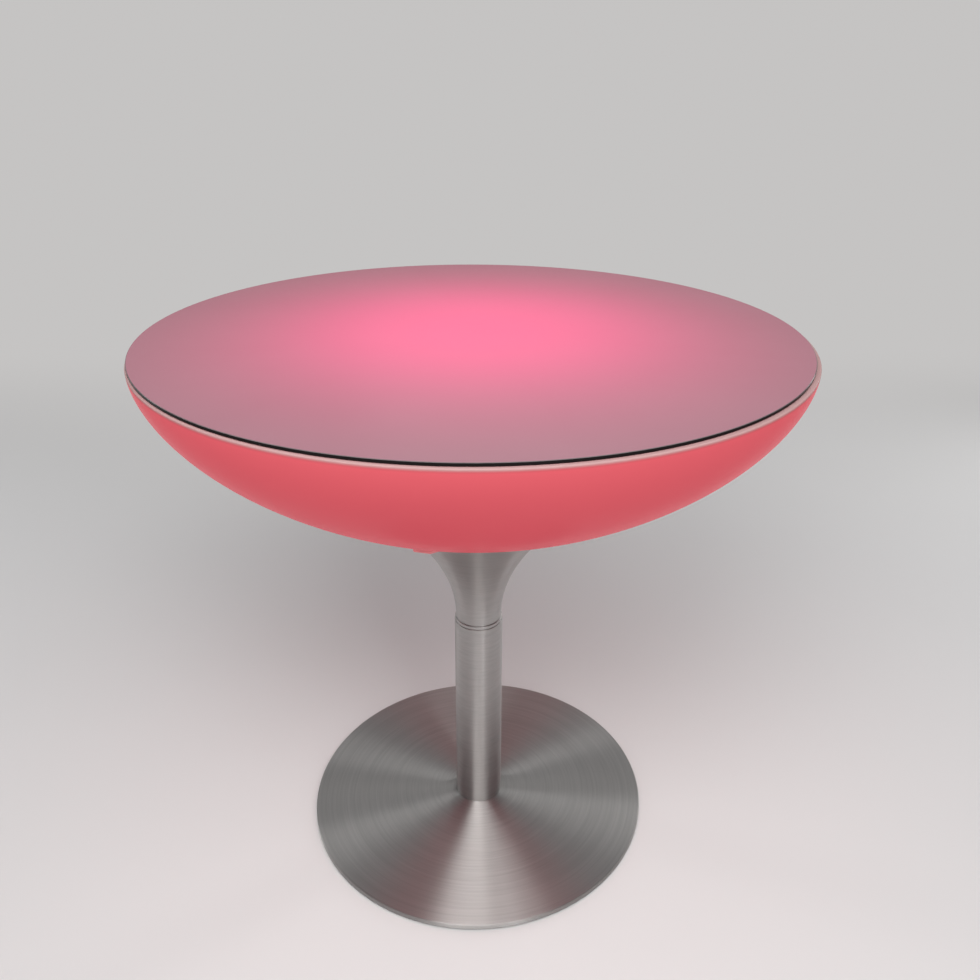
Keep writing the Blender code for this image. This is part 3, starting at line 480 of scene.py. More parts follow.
def brushed_paint(name, across, tones, rough, anisotropy):
    """Metal with grooves round Z, where across gives the distance over the grooves."""
    light, dark = tones
    paint = Paint(name, Metallic=1, Anisotropic=anisotropy, Anisotropic_Rotation=0.25)
    out = paint.radius()
    east, north = paint.x / out, paint.y / out

    def grooves(count, breaks):
        place = paint.point(across(paint) * count, east * breaks, north * breaks)
        return paint.noise(place, 1, 3, 0.6)

    fine, broad = grooves(2400, 2.5), grooves(260, 0.9)
    smudge = paint.noise(paint.place, 8, 3)
    paint.feed(Base_Color=paint.mix((fine * 0.5 + broad * 0.5).step(0.25, 0.75), dark, light),
               Roughness=rough + fine * 0.06 + smudge * 0.08)
    paint.bump(fine, 0.06, HAIR_DEPTH)
    return paint.material


disc_paint = brushed_paint("brushed_disc", lambda paint: paint.radius(), STEEL, 0.40, 1.0)
spun_paint = brushed_paint("spun_aluminium", lambda paint: paint.z, ALUMINIUM, 0.30, 0.9)

# %% [markdown]
# ## The other finishes
#
# The inner parts are only seen with the glass lifted off or from below, but each
# still has its own stuff: zinc plate with faint patches, rubber, moulded cream
# plastic, the lit opal dome, the two circuit boards and the battery's wrap.

# %% Paints for steel, rubber, plastics and electrics
def grained_paint(name, light, dark, scale, rough, bump, **constants):
    """A finish of two close tones with a fine grain."""
    paint = Paint(name, **constants)
    patch = paint.noise(paint.place, scale, 3)
    grain = paint.noise(paint.place, scale * 11, 2)
    paint.feed(Base_Color=paint.mix(patch.step(0.3, 0.7), dark, light),
               Roughness=rough + grain * 0.12)
    paint.bump(grain, bump, GRAIN_DEPTH)
    return paint.material


zinc = grained_paint("zinc_plate", (0.52, 0.52, 0.54), (0.38, 0.38, 0.41), 90, 0.25, 0.05,
                     Metallic=1)
rubber = grained_paint("black_rubber", (0.035, 0.035, 0.035), (0.020, 0.020, 0.021), 160,
                       0.68, 0.30)
cream = grained_paint("cream_plastic", (0.80, 0.74, 0.69), (0.74, 0.68, 0.63), 120, 0.38, 0.12)
silicone = grained_paint("clear_silicone", (0.72, 0.73, 0.73), (0.62, 0.63, 0.64), 200,
                         0.30, 0.10, Alpha=0.7)
wrap = grained_paint("battery_wrap", (0.030, 0.12, 0.38), (0.020, 0.09, 0.30), 60, 0.22, 0.05,
                     Coat_Weight=0.4)
sheath = grained_paint("cable_sheath", (0.030, 0.030, 0.032), (0.020, 0.020, 0.022), 300,
                       0.45, 0.15)
lens_black = grained_paint("sensor_lens", (0.030, 0.015, 0.022), (0.020, 0.010, 0.014), 400,
                           0.12, 0.03, Coat_Weight=0.6)


def board_paint(name, mask_colour, track_colour, scale):
    """Solder mask with tracks that show faintly through it."""
    paint = Paint(name, Specular_IOR_Level=0.4)
    lanes = paint.node("ShaderNodeTexBrick", {"offset": 0.5, "squash": 1.0},
                       {"Vector": paint.place, "Scale": scale, "Mortar Size": 0.03,
                        "Color1": (0, 0, 0, 1), "Color2": (0, 0, 0, 1), "Mortar": (1, 1, 1, 1)}, "Fac")
    fleck = paint.noise(paint.place, 500, 2)
    paint.feed(Base_Color=paint.mix(lanes * 0.7, mask_colour, track_colour),
               Roughness=0.30 + fleck * 0.15)
    paint.bump(lanes, 0.2, HAIR_DEPTH)
    return paint.material


white_board = board_paint("white_board", (0.74, 0.75, 0.73), (0.60, 0.62, 0.60), 60)
green_board = board_paint("green_board", (0.015, 0.13, 0.045), (0.030, 0.22, 0.080), 180)


def lit_paint(name, core, edge, centre, reach, strength):
    """A lit piece, hottest within reach of a point and cooler away from it."""
    paint = Paint(name, Emission_Strength=strength)
    away = ((paint.x - centre[0]) ** 2 + (paint.y - centre[1]) ** 2
            + (paint.z - centre[2]) ** 2) ** 0.5
    hot = 1 - away.step(0, reach)
    grain = paint.noise(paint.place, 700, 2)
    paint.feed(Base_Color=paint.mix(hot, edge, core), Emission_Color=paint.mix(hot, edge, core),
               Roughness=0.32 + grain * 0.1)
    paint.bump(grain, 0.06, FINE_DEPTH)
    return paint.material


# %% [markdown]
# ## The bowl
#
# The bowl's outline is a superellipse, between an ellipse and a cone: a formula
# with a width, a depth and a power. The inside is the same curve moved in by the
# wall. At the top the wall thickens into a lip, and a ledge inside it carries the
# glass's pads. At the bottom a flat floor stands on the neck's flange.

# %% Turn the bowl
FIT = 0.0003
BOWL_POWER = 1.647
BOWL_DEPTH = 0.2453
BOWL_WALL = 0.0045
LIP_WIDTH = 0.008
LIP_ROUNDING = 0.0017
LEDGE_WIDTH = 0.017
LEDGE_THICKNESS = 0.003
LEDGE_GUSSET = 0.014
LEDGE_CORNER = 0.0005
LIP_POINTS = 8
OUTSIDE_POINTS = 46
INSIDE_POINTS = 40
FACING_UP = 0.02

bowl_low, bowl_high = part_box("bowl_shell")
RIM_RADIUS = bowl_high.x
RIM_TOP = bowl_high.z
EQUATOR = RIM_TOP - LIP_ROUNDING
LEDGE_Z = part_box("glass_pad_1")[0].z - FIT
SEAT_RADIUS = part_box("flared_neck")[1].x


def bowl_normal(turn):
    """The way out of the bowl's skin, as shares of outwards and upwards."""
    out = cos(turn) ** (2 - 2 / BOWL_POWER) / RIM_RADIUS
    down = sin(turn) ** (2 - 2 / BOWL_POWER) / BOWL_DEPTH
    return out / hypot(out, down), -down / hypot(out, down)


def bowl_point(turn, inset=0):
    """A point of the bowl's outline: turn is 0 at the rim and grows downwards."""
    out, up = bowl_normal(turn)
    radius = RIM_RADIUS * cos(turn) ** (2 / BOWL_POWER)
    height = EQUATOR - BOWL_DEPTH * sin(turn) ** (2 / BOWL_POWER)
    return radius - inset * out, height - inset * up


seat_turn = acos((SEAT_RADIUS / RIM_RADIUS) ** (BOWL_POWER / 2))
ledge_turn = asin(((EQUATOR - LEDGE_Z + LEDGE_GUSSET) / BOWL_DEPTH) ** (BOWL_POWER / 2))
rod_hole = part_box("tie_rod")[1].x + FIT
lip_edge = RIM_RADIUS - LIP_WIDTH
ledge_edge = lip_edge - LEDGE_WIDTH
bowl_line = arc((RIM_RADIUS - LIP_ROUNDING, EQUATOR), LIP_ROUNDING, 90, 0, LIP_POINTS)
bowl_line += [bowl_point(turn) for turn in spread(0, seat_turn, OUTSIDE_POINTS)[1:]]
floor_top = bowl_point(seat_turn, BOWL_WALL)[1]
bowl_line += [(rod_hole, bowl_low.z), (rod_hole, floor_top)]
bowl_line += [bowl_point(turn, BOWL_WALL)
              for turn in spread(seat_turn, ledge_turn, INSIDE_POINTS)]
bowl_line += [(ledge_edge, LEDGE_Z - LEDGE_THICKNESS), (ledge_edge, LEDGE_Z - LEDGE_CORNER),
              (ledge_edge + LEDGE_CORNER, LEDGE_Z), (lip_edge, LEDGE_Z),
              (lip_edge, RIM_TOP - LEDGE_CORNER), (lip_edge + LEDGE_CORNER, RIM_TOP), bowl_line[0]]
bowl = turned("bowl", bowl_line)
bowl.data.materials.append(bowl_paint(RIM_TOP, bowl_low.z))
bowl.data.materials.append(inside_paint(LEDGE_Z, bowl_low.z))
for face in bowl.data.polygons:
    inside = face.normal.z > FACING_UP and face.center.z < LEDGE_Z - LEDGE_CORNER
    face.material_index = int(inside)

# %% [markdown]
# ## The glass disc
#
# A disc cut from 4 mm glass. Its corners are ground off by a little more than half
# a millimetre, or they would chip and cut. It lies a little off centre on the rim,
# as loose glass does, so its outline is turned about its own middle and then moved
# there.

# %% Turn the glass
GLASS_CORNER = 0.0006
GLASS_MARGIN = 0.020
glass_low, glass_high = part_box("glass_top")
glass_x = (glass_low.x + glass_high.x) / 2
glass_radius = (glass_high.x - glass_low.x) / 2
glass_line = [(0, glass_high.z), (glass_radius - GLASS_MARGIN, glass_high.z),
              (glass_radius - GLASS_CORNER, glass_high.z), (glass_radius, glass_high.z - GLASS_CORNER),
              (glass_radius, glass_low.z + GLASS_CORNER), (glass_radius - GLASS_CORNER, glass_low.z),
              (0, glass_low.z)]
glass = turned("glass_disc", glass_line, smooth_angle=CRISP)
glass.location.x = glass_x
bpy.ops.object.transform_apply(location=True, rotation=True, scale=True)
glass.data.materials.append(glass_paint(glass_x, glass_radius, glass_high.z))

# %% [markdown]
# ## Neck, ring and tube
#
# The neck is sheet aluminium, spun over a form until it flares like a trumpet: a
# parabola fits it. Its top is turned inwards into a flange for the bowl. Where it
# meets the tube, a narrow ring covers the joint and leaves a fine shadow line on
# either side.

# %% Turn the neck, the ring and the tube
NECK_ROOT = 0.0324
NECK_WALL = 0.002
NECK_FLANGE = 0.040
NECK_POINTS = 44
neck_low, neck_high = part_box("flared_neck")


def neck_radius(height):
    """The parabola of the neck's outside."""
    share = (height - neck_low.z) / (neck_high.z - neck_low.z)
    return NECK_ROOT + (SEAT_RADIUS - NECK_ROOT) * share ** 2


def neck_outline():
    """The neck's half outline: its edge, its outside, its inside and its flange."""
    outer, inner = [], []
    for height in spread(neck_high.z - NECK_WALL, neck_low.z, NECK_POINTS):
        flare = 2 * (neck_radius(height) - NECK_ROOT) / max(height - neck_low.z, MERGE)
        outer.append((neck_radius(height), height))
        inner.append((neck_radius(height) - NECK_WALL / hypot(1, flare),
                      height + NECK_WALL * flare / hypot(1, flare)))
    under = neck_high.z - NECK_WALL
    inner = [point for point in inner if point[1] < under - NECK_WALL / 4]
    edge = arc((SEAT_RADIUS - NECK_WALL, neck_high.z - NECK_WALL / 2), NECK_WALL / 2, 90, 20, 4)
    flange = SEAT_RADIUS - NECK_FLANGE
    close = [(neck_radius(under) - NECK_WALL, under), (flange, under), (flange, neck_high.z)]
    return edge + outer + inner[::-1] + close + edge[:1]


neck = turned("neck", neck_outline())
neck.data.materials.append(spun_paint)

TUBE_WALL = 0.002
TUBE_CORNER = 0.0003
TUBE_END = 0.004
TUBE_BANDS = 12
tube_low, tube_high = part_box("column_tube")
tube_r = tube_high.x
tube_line = [(tube_r - TUBE_CORNER, tube_high.z), (tube_r, tube_high.z - TUBE_CORNER)]
tube_line += [(tube_r, height)
              for height in spread(tube_high.z - TUBE_END, tube_low.z + TUBE_END, TUBE_BANDS)]
tube_line += [(tube_r, tube_low.z + TUBE_CORNER), (tube_r - TUBE_CORNER, tube_low.z),
              (tube_r - TUBE_WALL, tube_low.z), (tube_r - TUBE_WALL, tube_high.z),
              (tube_r - TUBE_CORNER, tube_high.z)]
tube = turned("tube", tube_line, SMALL_STEPS)
tube.data.materials.append(spun_paint)

RING_BAND = 0.005
RING_CORNER = 0.0004
ring_low, ring_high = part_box("coupling_ring")
band_low = tube_high.z + FIT
band_high = band_low + RING_BAND
upper_r = NECK_ROOT - NECK_WALL - FIT
lower_r = tube_r - TUBE_WALL - FIT
corner_r = ring_high.x - RING_CORNER
ring_line = [(upper_r, ring_high.z), (upper_r, band_high), (corner_r, band_high)]
ring_line += arc((corner_r, band_high - RING_CORNER), RING_CORNER, 90, 0, 4)[1:]
ring_line += arc((corner_r, band_low + RING_CORNER), RING_CORNER, 0, -90, 4)
ring_line += [(lower_r, band_low), (lower_r, ring_low.z), (rod_hole, ring_low.z),
              (rod_hole, ring_high.z), (upper_r, ring_high.z)]
ring = turned("ring", ring_line, SMALL_STEPS)
ring.data.materials.append(spun_paint)

# %% [markdown]
# ## The base
#
# A steel weight is hidden under a thin stainless cover. The cover's rim is bent
# down round the weight with a small radius, and that bend is what catches the
# light as a thin bright line along the base's edge. The rubber under it keeps a
# hard floor from being scratched, and a few round grooves in it let it grip.

# %% Turn the base's cover and the rubber under it
COVER_SHEET = 0.001
COVER_BEND = 0.0015
COVER_HOLE = 0.0263
COVER_MARGIN = 0.002
COVER_RINGS = 24
cover_low, cover_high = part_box("base_cover")
cover_r = cover_high.x
bend = (cover_r - COVER_BEND, cover_high.z - COVER_BEND)
cover_line = [(COVER_HOLE, cover_high.z)]
cover_line += [(radius, cover_high.z)
               for radius in spread(COVER_HOLE + COVER_MARGIN, bend[0] - COVER_MARGIN, COVER_RINGS)]
cover_line += arc(bend, COVER_BEND, 90, 0, 8)
cover_line += [(cover_r, cover_low.z), (cover_r - COVER_SHEET, cover_low.z)]
cover_line += arc(bend, COVER_BEND - COVER_SHEET, 0, 90, 4)
cover_line += [(COVER_HOLE, cover_high.z - COVER_SHEET), (COVER_HOLE, cover_high.z)]
cover = turned("base_skin", cover_line)
cover.data.materials.append(disc_paint)

PAD_EDGE = 0.0008
PAD_STEPS = 128
TREAD_SPAN = (0.010, 0.040)
TREADS = 4
TREAD_WIDTH = 0.003
pad_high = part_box("floor_pad")[1]
pad_r = pad_high.x
pad_line = [(0, pad_high.z), (pad_r, pad_high.z), (pad_r, PAD_EDGE), (pad_r - PAD_EDGE, 0)]
for groove in spread(pad_r - TREAD_SPAN[0], pad_r - TREAD_SPAN[1], TREADS):
    pad_line += [(groove, 0), (groove - TREAD_WIDTH / 2, PAD_EDGE), (groove - TREAD_WIDTH, 0)]
pad_line += [(0, 0)]
pad = turned("floor_rubber", pad_line, PAD_STEPS, CRISP)
pad.data.materials.append(rubber)

# %% [markdown]
# ## The lamp's dome
#
# With the glass off, a round cream tray with an opal dome shows in the bowl. The
# dome is a squashed half sphere with a skirt that snaps into the tray. It is the
# hottest thing in the bowl, so its paint glows most at the top.

# %% Turn the dome
DOME_WALL = 0.002
DOME_POINTS = 24
DOME_INSIDE_POINTS = 20
DOME_HOT = (1.0, 0.42, 0.55)
DOME_COOL = (0.85, 0.12, 0.24)
TRAY_WALL = 0.0025
dome_low, dome_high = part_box("diffuser_dome")
tray_low, tray_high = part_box("module_tray")
dome_r = dome_high.x
dome_z = tray_high.z + FIT
rise = dome_high.z - dome_z
inside_r = dome_r - TRAY_WALL - FIT
dome_line = [(dome_r * cos(turn), dome_z + rise * sin(turn))
             for turn in spread(pi / 2, 0, DOME_POINTS)]
dome_line[0] = (0, dome_high.z)
dome_line += [(inside_r, dome_z), (inside_r, dome_low.z), (inside_r - DOME_WALL, dome_low.z)]
dome_line += [((inside_r - DOME_WALL) * cos(turn), dome_z + (rise - DOME_WALL) * sin(turn))
              for turn in spread(0, pi / 2, DOME_INSIDE_POINTS)]
dome_line[-1] = (0, dome_high.z - DOME_WALL)
dome = turned("opal_dome", dome_line, SMALL_STEPS)
dome.data.materials.append(
    lit_paint("opal_dome", DOME_HOT, DOME_COOL, (0, 0, dome_high.z), reach=0.11, strength=1.1))

# %% [markdown]
# ## The tray under the dome
#
# The tray is turned as a plain dish with three fine grooves round its side. The
# rest isn't round, so it is added and cut with booleans: posts for the light
# board, a block that the control board stands on, holes with room for the screws,
# and the hole where the cable comes in.

# %% Make the tray
TRAY_STEPS = 128
TRAY_FOOT = 0.0012
TRAY_HOLE = 0.014
TRAY_CORNER = 0.0005
GROOVE_DEPTH = 0.0006
GROOVE_ABOVE = 0.012
GROOVE_BELOW = 0.008
POST_DIAMETER = 0.010
PEDESTAL_INSET = 0.003
BOARD_SHANK = 0.003
MODULE_SHANK = 0.004
SCREW_ROOM = 0.0003
CABLE_ROOM = 0.006
CABLE_RISE = 0.0046
CABLE_TURN = radians(-105)
tray_r = tray_high.x
tray_line = [(tray_r - TRAY_WALL, tray_high.z), (tray_r - TRAY_CORNER, tray_high.z),
             (tray_r, tray_high.z - TRAY_CORNER)]
for groove in spread(tray_high.z - GROOVE_BELOW, tray_low.z + GROOVE_ABOVE, 3):
    tray_line += [(tray_r, groove + 2 * GROOVE_DEPTH), (tray_r - GROOVE_DEPTH, groove + GROOVE_DEPTH),
                  (tray_r - GROOVE_DEPTH, groove - GROOVE_DEPTH), (tray_r, groove - 2 * GROOVE_DEPTH)]
tray_line += [(tray_r, tray_low.z + TRAY_FOOT), (tray_r - TRAY_FOOT, tray_low.z),
              (TRAY_HOLE, tray_low.z), (TRAY_HOLE, tray_low.z + TRAY_WALL),
              (tray_r - TRAY_WALL, tray_low.z + TRAY_WALL), (tray_r - TRAY_WALL, tray_high.z)]
tray = turned("tray", tray_line, TRAY_STEPS)


def spot_of(node):
    """Where a loaded part's upright axis stands, as x and y."""
    low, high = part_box(node)
    return (low.x + high.x) / 2, (low.y + high.y) / 2


def screw_hole(node, shank):
    """A cutter with room round a loaded screw, from under its tip to the tray's top."""
    return rod(node + "_hole", shank + 2 * SCREW_ROOM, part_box(node)[0].z - FIT, tray_high.z,
               spot_of(node))


stand = tray_low.z + TRAY_WALL / 2
post_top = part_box("led_board")[0].z - FIT
for number in (1, 2, 3):
    screw = f"board_screw_{number}"
    cut(tray, rod("post", POST_DIAMETER, stand, post_top, spot_of(screw)), 'UNION')
    cut(tray, screw_hole(screw, BOARD_SHANK))
for number in (1, 2, 3, 4):
    cut(tray, screw_hole(f"module_screw_{number}", MODULE_SHANK))
board_low, board_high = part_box("control_board")
board_size = board_high - board_low
pedestal_top = board_low.z - FIT
cut(tray, block("pedestal", (board_size.x - 2 * PEDESTAL_INSET, board_size.y - 2 * PEDESTAL_INSET,
                             pedestal_top - stand),
                (*spot_of("control_board"), (pedestal_top + stand) / 2)), 'UNION')
entry = rod("cable_entry", CABLE_ROOM, tray_r - 2 * TRAY_WALL, tray_r + TRAY_WALL,
            (0, board_low.z + CABLE_RISE), along='X')
entry.rotation_euler.z = CABLE_TURN
cut(tray, entry)
tray.data.materials.append(cream)
print("tray", len(tray.data.polygons), "faces after the cuts")

# %% [markdown]
# ## The control pod's place
#
# Under the bowl's front hangs a small pod with the on-off button and the charging
# socket. Its pieces are drawn flat about the pod's own middle, and only then laid
# on the slope of the bowl. The model's joints give that slope: the button presses
# straight into the skin, and the flap's hinge lies across the pod.

# %% Find the pod's place from the joints
POD_PROUD = 0.0045
HINGE_OFFSET = 0.0145
HINGE_BARREL = 0.0026
HINGE_Z = POD_PROUD - HINGE_BARREL / 2

joints = {joint["name"]: joint for joint in frame["joints"]}
skin_out = -Vector(joints["power_button_press"]["axis"])
pod_across = -Vector(joints["socket_flap_hinge"]["axis"])
pod_along = skin_out.cross(pod_across)
pod_middle = (Vector(joints["socket_flap_hinge"]["pos_m"]) - HINGE_OFFSET * pod_along
              - HINGE_Z * skin_out)
pod_place = Matrix((pod_across, pod_along, skin_out)).transposed().to_4x4()
pod_place.translation = pod_middle


def lay(piece, offset=ORIGIN):
    """Lay a piece that was drawn about the pod's middle on the bowl's slope."""
    pick(piece)
    piece.matrix_world = pod_place @ Matrix.Translation(offset)
    bpy.ops.object.transform_apply(location=True, rotation=True, scale=True)
    return piece


print("pod", [round(value, 4) for value in pod_middle])

# %% [markdown]
# ## The control pod's housing
#
# The housing is a rounded block whose back is cut to the bowl's own curve, with a
# stem that passes through a window in the bowl. The wells for the button, the
# socket and the screws, the flap's pocket and the pin's hole are all plain cutters
# that are drawn flat and laid like the block. Cuts that cross on one edge can leave
# hair cracks, so the housing is welded at the end.

# %% Shape the pod's housing
POD_WIDTH = 0.022
POD_LENGTH = 0.046
POD_ROUNDING = 0.002
POD_SEGMENTS = 6
STEM_WIDTH = 0.017
STEM_LENGTH = 0.032
STEM_REACH = 0.012
SKIN_POINTS = 60
BUTTON_OFFSET = 0.0085
BUTTON_DIAMETER = 0.012
BUTTON_HEIGHT = 0.0055
BUTTON_PROUD = 0.0008
BUTTON_TRAVEL = 0.0015
FINGER_ROOM = 0.0036
FINGER_DEPTH = 0.0010
SOCKET_OFFSET = 0.0065
SOCKET_DIAMETER = 0.010
FLAP_WIDTH = 0.012
FLAP_THICKNESS = 0.0014
FLAP_TIP = 0
FLAP_LOW = POD_PROUD - FLAP_THICKNESS
HINGE_PIN = 0.001
PIN_OVERHANG = 0.0036
POD_SCREW_OFFSET = 0.0193
POD_SCREW_ROOM = 0.0036
POD_SCREW_DEPTH = 0.0033

skin_line = [(0, EQUATOR)]
skin_line += [bowl_point(turn, -FIT) for turn in spread(0, seat_turn, SKIN_POINTS)]
skin_line += [(0, bowl_point(seat_turn, -FIT)[1])]
case = lay(block("pod_case", (POD_WIDTH, POD_LENGTH, POD_PROUD + BOWL_WALL),
                 (0, 0, (POD_PROUD - BOWL_WALL) / 2), POD_ROUNDING, POD_SEGMENTS))
cut(case, turned("skin", skin_line))
stem_size = Vector((STEM_WIDTH, STEM_LENGTH, STEM_REACH + POD_PROUD / 2))
stem_middle = (0, 0, (POD_PROUD / 2 - STEM_REACH) / 2)
cut(case, lay(block("stem", stem_size, stem_middle)), 'UNION')
cut(bowl, lay(block("window", stem_size + Vector((2 * FIT, 2 * FIT, 0)), stem_middle)))

barrel_room = HINGE_BARREL / 2 + FIT
for near, far, floor in ((FLAP_TIP - FIT, HINGE_OFFSET, FLAP_LOW - FIT),
                         (HINGE_OFFSET - barrel_room, HINGE_OFFSET + barrel_room,
                          HINGE_Z - barrel_room)):
    cut(case, lay(block("pocket", (FLAP_WIDTH + 2 * FIT, far - near, POD_PROUD),
                        (0, (near + far) / 2, floor + POD_PROUD / 2))))


def pin_room():
    """A cutter for the hinge pin's hole, open at one side of the pod."""
    return lay(rod("pin_room", HINGE_PIN + 2 * FIT, -(FLAP_WIDTH / 2 + PIN_OVERHANG), POD_WIDTH,
                   (HINGE_OFFSET, HINGE_Z), 'X'))


cut(case, pin_room())
well = POD_PROUD + BUTTON_PROUD - BUTTON_HEIGHT - BUTTON_TRAVEL - FIT
button_spot, socket_spot = (0, -BUTTON_OFFSET), (0, SOCKET_OFFSET)
cut(case, lay(rod("button_well", BUTTON_DIAMETER + 2 * FIT, well, 2 * POD_PROUD, button_spot)))
cut(case, lay(rod("button_dish", BUTTON_DIAMETER, POD_PROUD - FINGER_DEPTH, POD_PROUD + FINGER_DEPTH,
                  button_spot, top=BUTTON_DIAMETER + FINGER_ROOM)))
cut(case, lay(rod("socket_well", SOCKET_DIAMETER + 2 * FIT, -2 * STEM_REACH, 2 * POD_PROUD,
                  socket_spot)))
for side in (-1, 1):
    for piece in (case, bowl):
        cut(piece, lay(rod("screw_room", POD_SCREW_ROOM, -2 * STEM_REACH, POD_SCREW_DEPTH,
                           (0, side * POD_SCREW_OFFSET))))
weld(case)
print("pod_case", len(case.data.polygons), "faces")

# %% [markdown]
# ## Button and flap
#
# The button is moulded rubber: its top is dished for a fingertip and carries the
# usual power mark, a broken ring with a bar. The flap is one rubber piece too,
# with a rolled hinge, a boss that plugs the socket and three grooves to grip.

# %% Shape the button and the flap
DISH = 0.00035
DISH_RINGS = 14
CAP_ROUNDING = 0.0006
CAP_FOOT = 0.0004
BUTTON_STEPS = 64
FLAP_ROUNDING = 0.0003
BOSS_DIAMETER = 0.0052
BOSS_DEPTH = 0.0012
GRIP_DIAMETER = 0.0006
GRIP_LENGTH = 0.009
GRIP_SPAN = (0.0014, 0.0034)

cap_r = BUTTON_DIAMETER / 2
dish_r = cap_r - CAP_ROUNDING
button_line = [(radius, BUTTON_HEIGHT - DISH * (1 - (radius / dish_r) ** 2))
               for radius in spread(0, dish_r, DISH_RINGS)]
button_line += arc((dish_r, BUTTON_HEIGHT - CAP_ROUNDING), CAP_ROUNDING, 90, 0, 6)[1:]
button_line += [(cap_r, CAP_FOOT), (cap_r - CAP_FOOT, 0), (0, 0)]
button = lay(turned("button_cap", button_line, BUTTON_STEPS),
             (*button_spot, POD_PROUD + BUTTON_PROUD - BUTTON_HEIGHT))

flap_middle = (0, (FLAP_TIP + HINGE_OFFSET) / 2, FLAP_LOW + FLAP_THICKNESS / 2)
flap = lay(block("flap_skin", (FLAP_WIDTH, HINGE_OFFSET - FLAP_TIP, FLAP_THICKNESS), flap_middle,
                 FLAP_ROUNDING, 3))
cut(flap, lay(rod("roll", HINGE_BARREL, -FLAP_WIDTH / 2, FLAP_WIDTH / 2, (HINGE_OFFSET, HINGE_Z),
                  'X')), 'UNION')
cut(flap, lay(rod("boss", BOSS_DIAMETER, FLAP_LOW - BOSS_DEPTH, FLAP_LOW + FLAP_THICKNESS / 2,
                  socket_spot)), 'UNION')
cut(flap, pin_room())
for groove in spread(FLAP_TIP + GRIP_SPAN[0], FLAP_TIP + GRIP_SPAN[1], 3):
    cut(flap, lay(rod("grip", GRIP_DIAMETER, -GRIP_LENGTH / 2, GRIP_LENGTH / 2, (groove, POD_PROUD),
                      'X')))
weld(flap)
print("flap_skin", len(flap.data.polygons), "faces")

# %% [markdown]
# ## Paints for the pod
#
# The power mark is printed on the button, so it is a pattern and not a shape. It
# is drawn with distances from the button's middle, measured along the pod and
# across it: a ring, less a gap at its top, and a bar that starts near the middle.
# The pod itself is milky and picks up the bowl's glow.

# %% Paint the pod, the button and the flap
MARK_RADIUS = 0.0026
MARK_LINE = 0.0003
MARK_GAP = 0.0008
MARK_SOFT = 0.0001
BAR_START = 0.0006
BAR_END = 0.0032
MARK_PALE = (0.62, 0.60, 0.58)
BUTTON_BLACK = (0.030, 0.030, 0.031)
# The pod's pink skin tones are painted light: the bowl's glow tints the milky plastic.
POD_LIT_SKIN = ((0.44, 0.20, 0.19), (0.50, 0.24, 0.22))
POD_GLOW = ((0.24, 0.035, 0.048), (0.30, 0.050, 0.066))


def button_paint():
    """Black rubber with the pale power mark, drawn from the place on the button."""
    paint = Paint("button_rubber", Specular_IOR_Level=0.35)
    middle = pod_place @ Vector((*button_spot, 0))

    def reach(axis):
        """Distance from the button's middle along an axis."""
        return ((paint.x - middle.x) * axis.x + (paint.y - middle.y) * axis.y
                + (paint.z - middle.z) * axis.z)

    def line(distance):
        """1 on a thin line where the distance is 0, and 0 away from it."""
        off = distance.maths('ABSOLUTE', distance)
        return 1 - off.step(MARK_LINE * 0.8, MARK_LINE * 1.2)

    across, up = reach(pod_across), reach(pod_along)
    side = across.maths('ABSOLUTE', across)
    ring = line((across ** 2 + up ** 2) ** 0.5 - MARK_RADIUS)
    gap = (1 - side.step(MARK_GAP, MARK_GAP + MARK_SOFT)) * up.step(0, MARK_SOFT)
    bar = (line(across) * up.step(BAR_START, BAR_START + MARK_SOFT)
           * (1 - up.step(BAR_END, BAR_END + MARK_SOFT)))
    mark = bar.maths('MAXIMUM', bar, ring * (1 - gap))
    grain = paint.noise(paint.place, 1800, 2)
    paint.feed(Base_Color=paint.mix(mark, BUTTON_BLACK, MARK_PALE), Roughness=0.55 + grain * 0.2)
    paint.bump(grain, 0.25, FINE_DEPTH)
    return paint.material


def pod_paint():
    """Milky plastic that picks up the bowl's glow."""
    paint = Paint("pod_plastic", Specular_IOR_Level=0.3, Emission_Strength=1)
    cloud = paint.noise(paint.place, 40, 2)
    grain = paint.noise(paint.place, 1200, 2)
    paint.feed(Base_Color=paint.mix(cloud, *POD_LIT_SKIN), Emission_Color=paint.mix(cloud, *POD_GLOW),
               Roughness=0.30 + grain * 0.12)
    paint.bump(grain, 0.10, FINE_DEPTH)
    return paint.material


case.data.materials.append(pod_paint())
button.data.materials.append(button_paint())
flap.data.materials.append(rubber)

# %% [markdown]
# ## Finishes for the loaded parts
#
# The small inner parts already have their right shapes, so they keep them and
# only get a finish. One table names the finish of each.

# %% Paint the parts that keep their own shape
EMITTER_HOT = (1.0, 0.75, 0.78)
EMITTER_COOL = (1.0, 0.35, 0.42)
emitter_paint = lit_paint("emitter", EMITTER_HOT, EMITTER_COOL, (0, 0, dome_low.z), reach=0.2,
                          strength=3)
FINISHES = {
    zinc: ["tie_rod", "rod_nut", "rod_washer", "clamp_plate", "base_hub", "base_weight",
           "hinge_pin", "charging_socket", "base_screw", "board_screw", "module_screw", "pod_screw"],
    cream: ["pod_retainer", "cable_clip"],
    silicone: ["glass_pad"],
    white_board: ["led_board"],
    green_board: ["control_board"],
    emitter_paint: ["led_emitter"],
    wrap: ["battery_left", "battery_right"],
    sheath: ["pod_cable", "battery_lead", "led_lead"],
    lens_black: ["remote_sensor"],
}
for finish, names in FINISHES.items():
    for node, piece in frame["nodes"].items():
        if any(node.startswith(name) for name in names):
            piece.data.materials.clear()
            piece.data.materials.append(finish)
print("finishes", len(FINISHES))

# %% [markdown]
# ## Riding on the model
#
# Each new piece moves with the body that its part belongs to: the glass lifts off,
# the button sinks in, the flap swings open, and all the rest stands still. Each
# new piece also stands for the plain part whose place it takes.

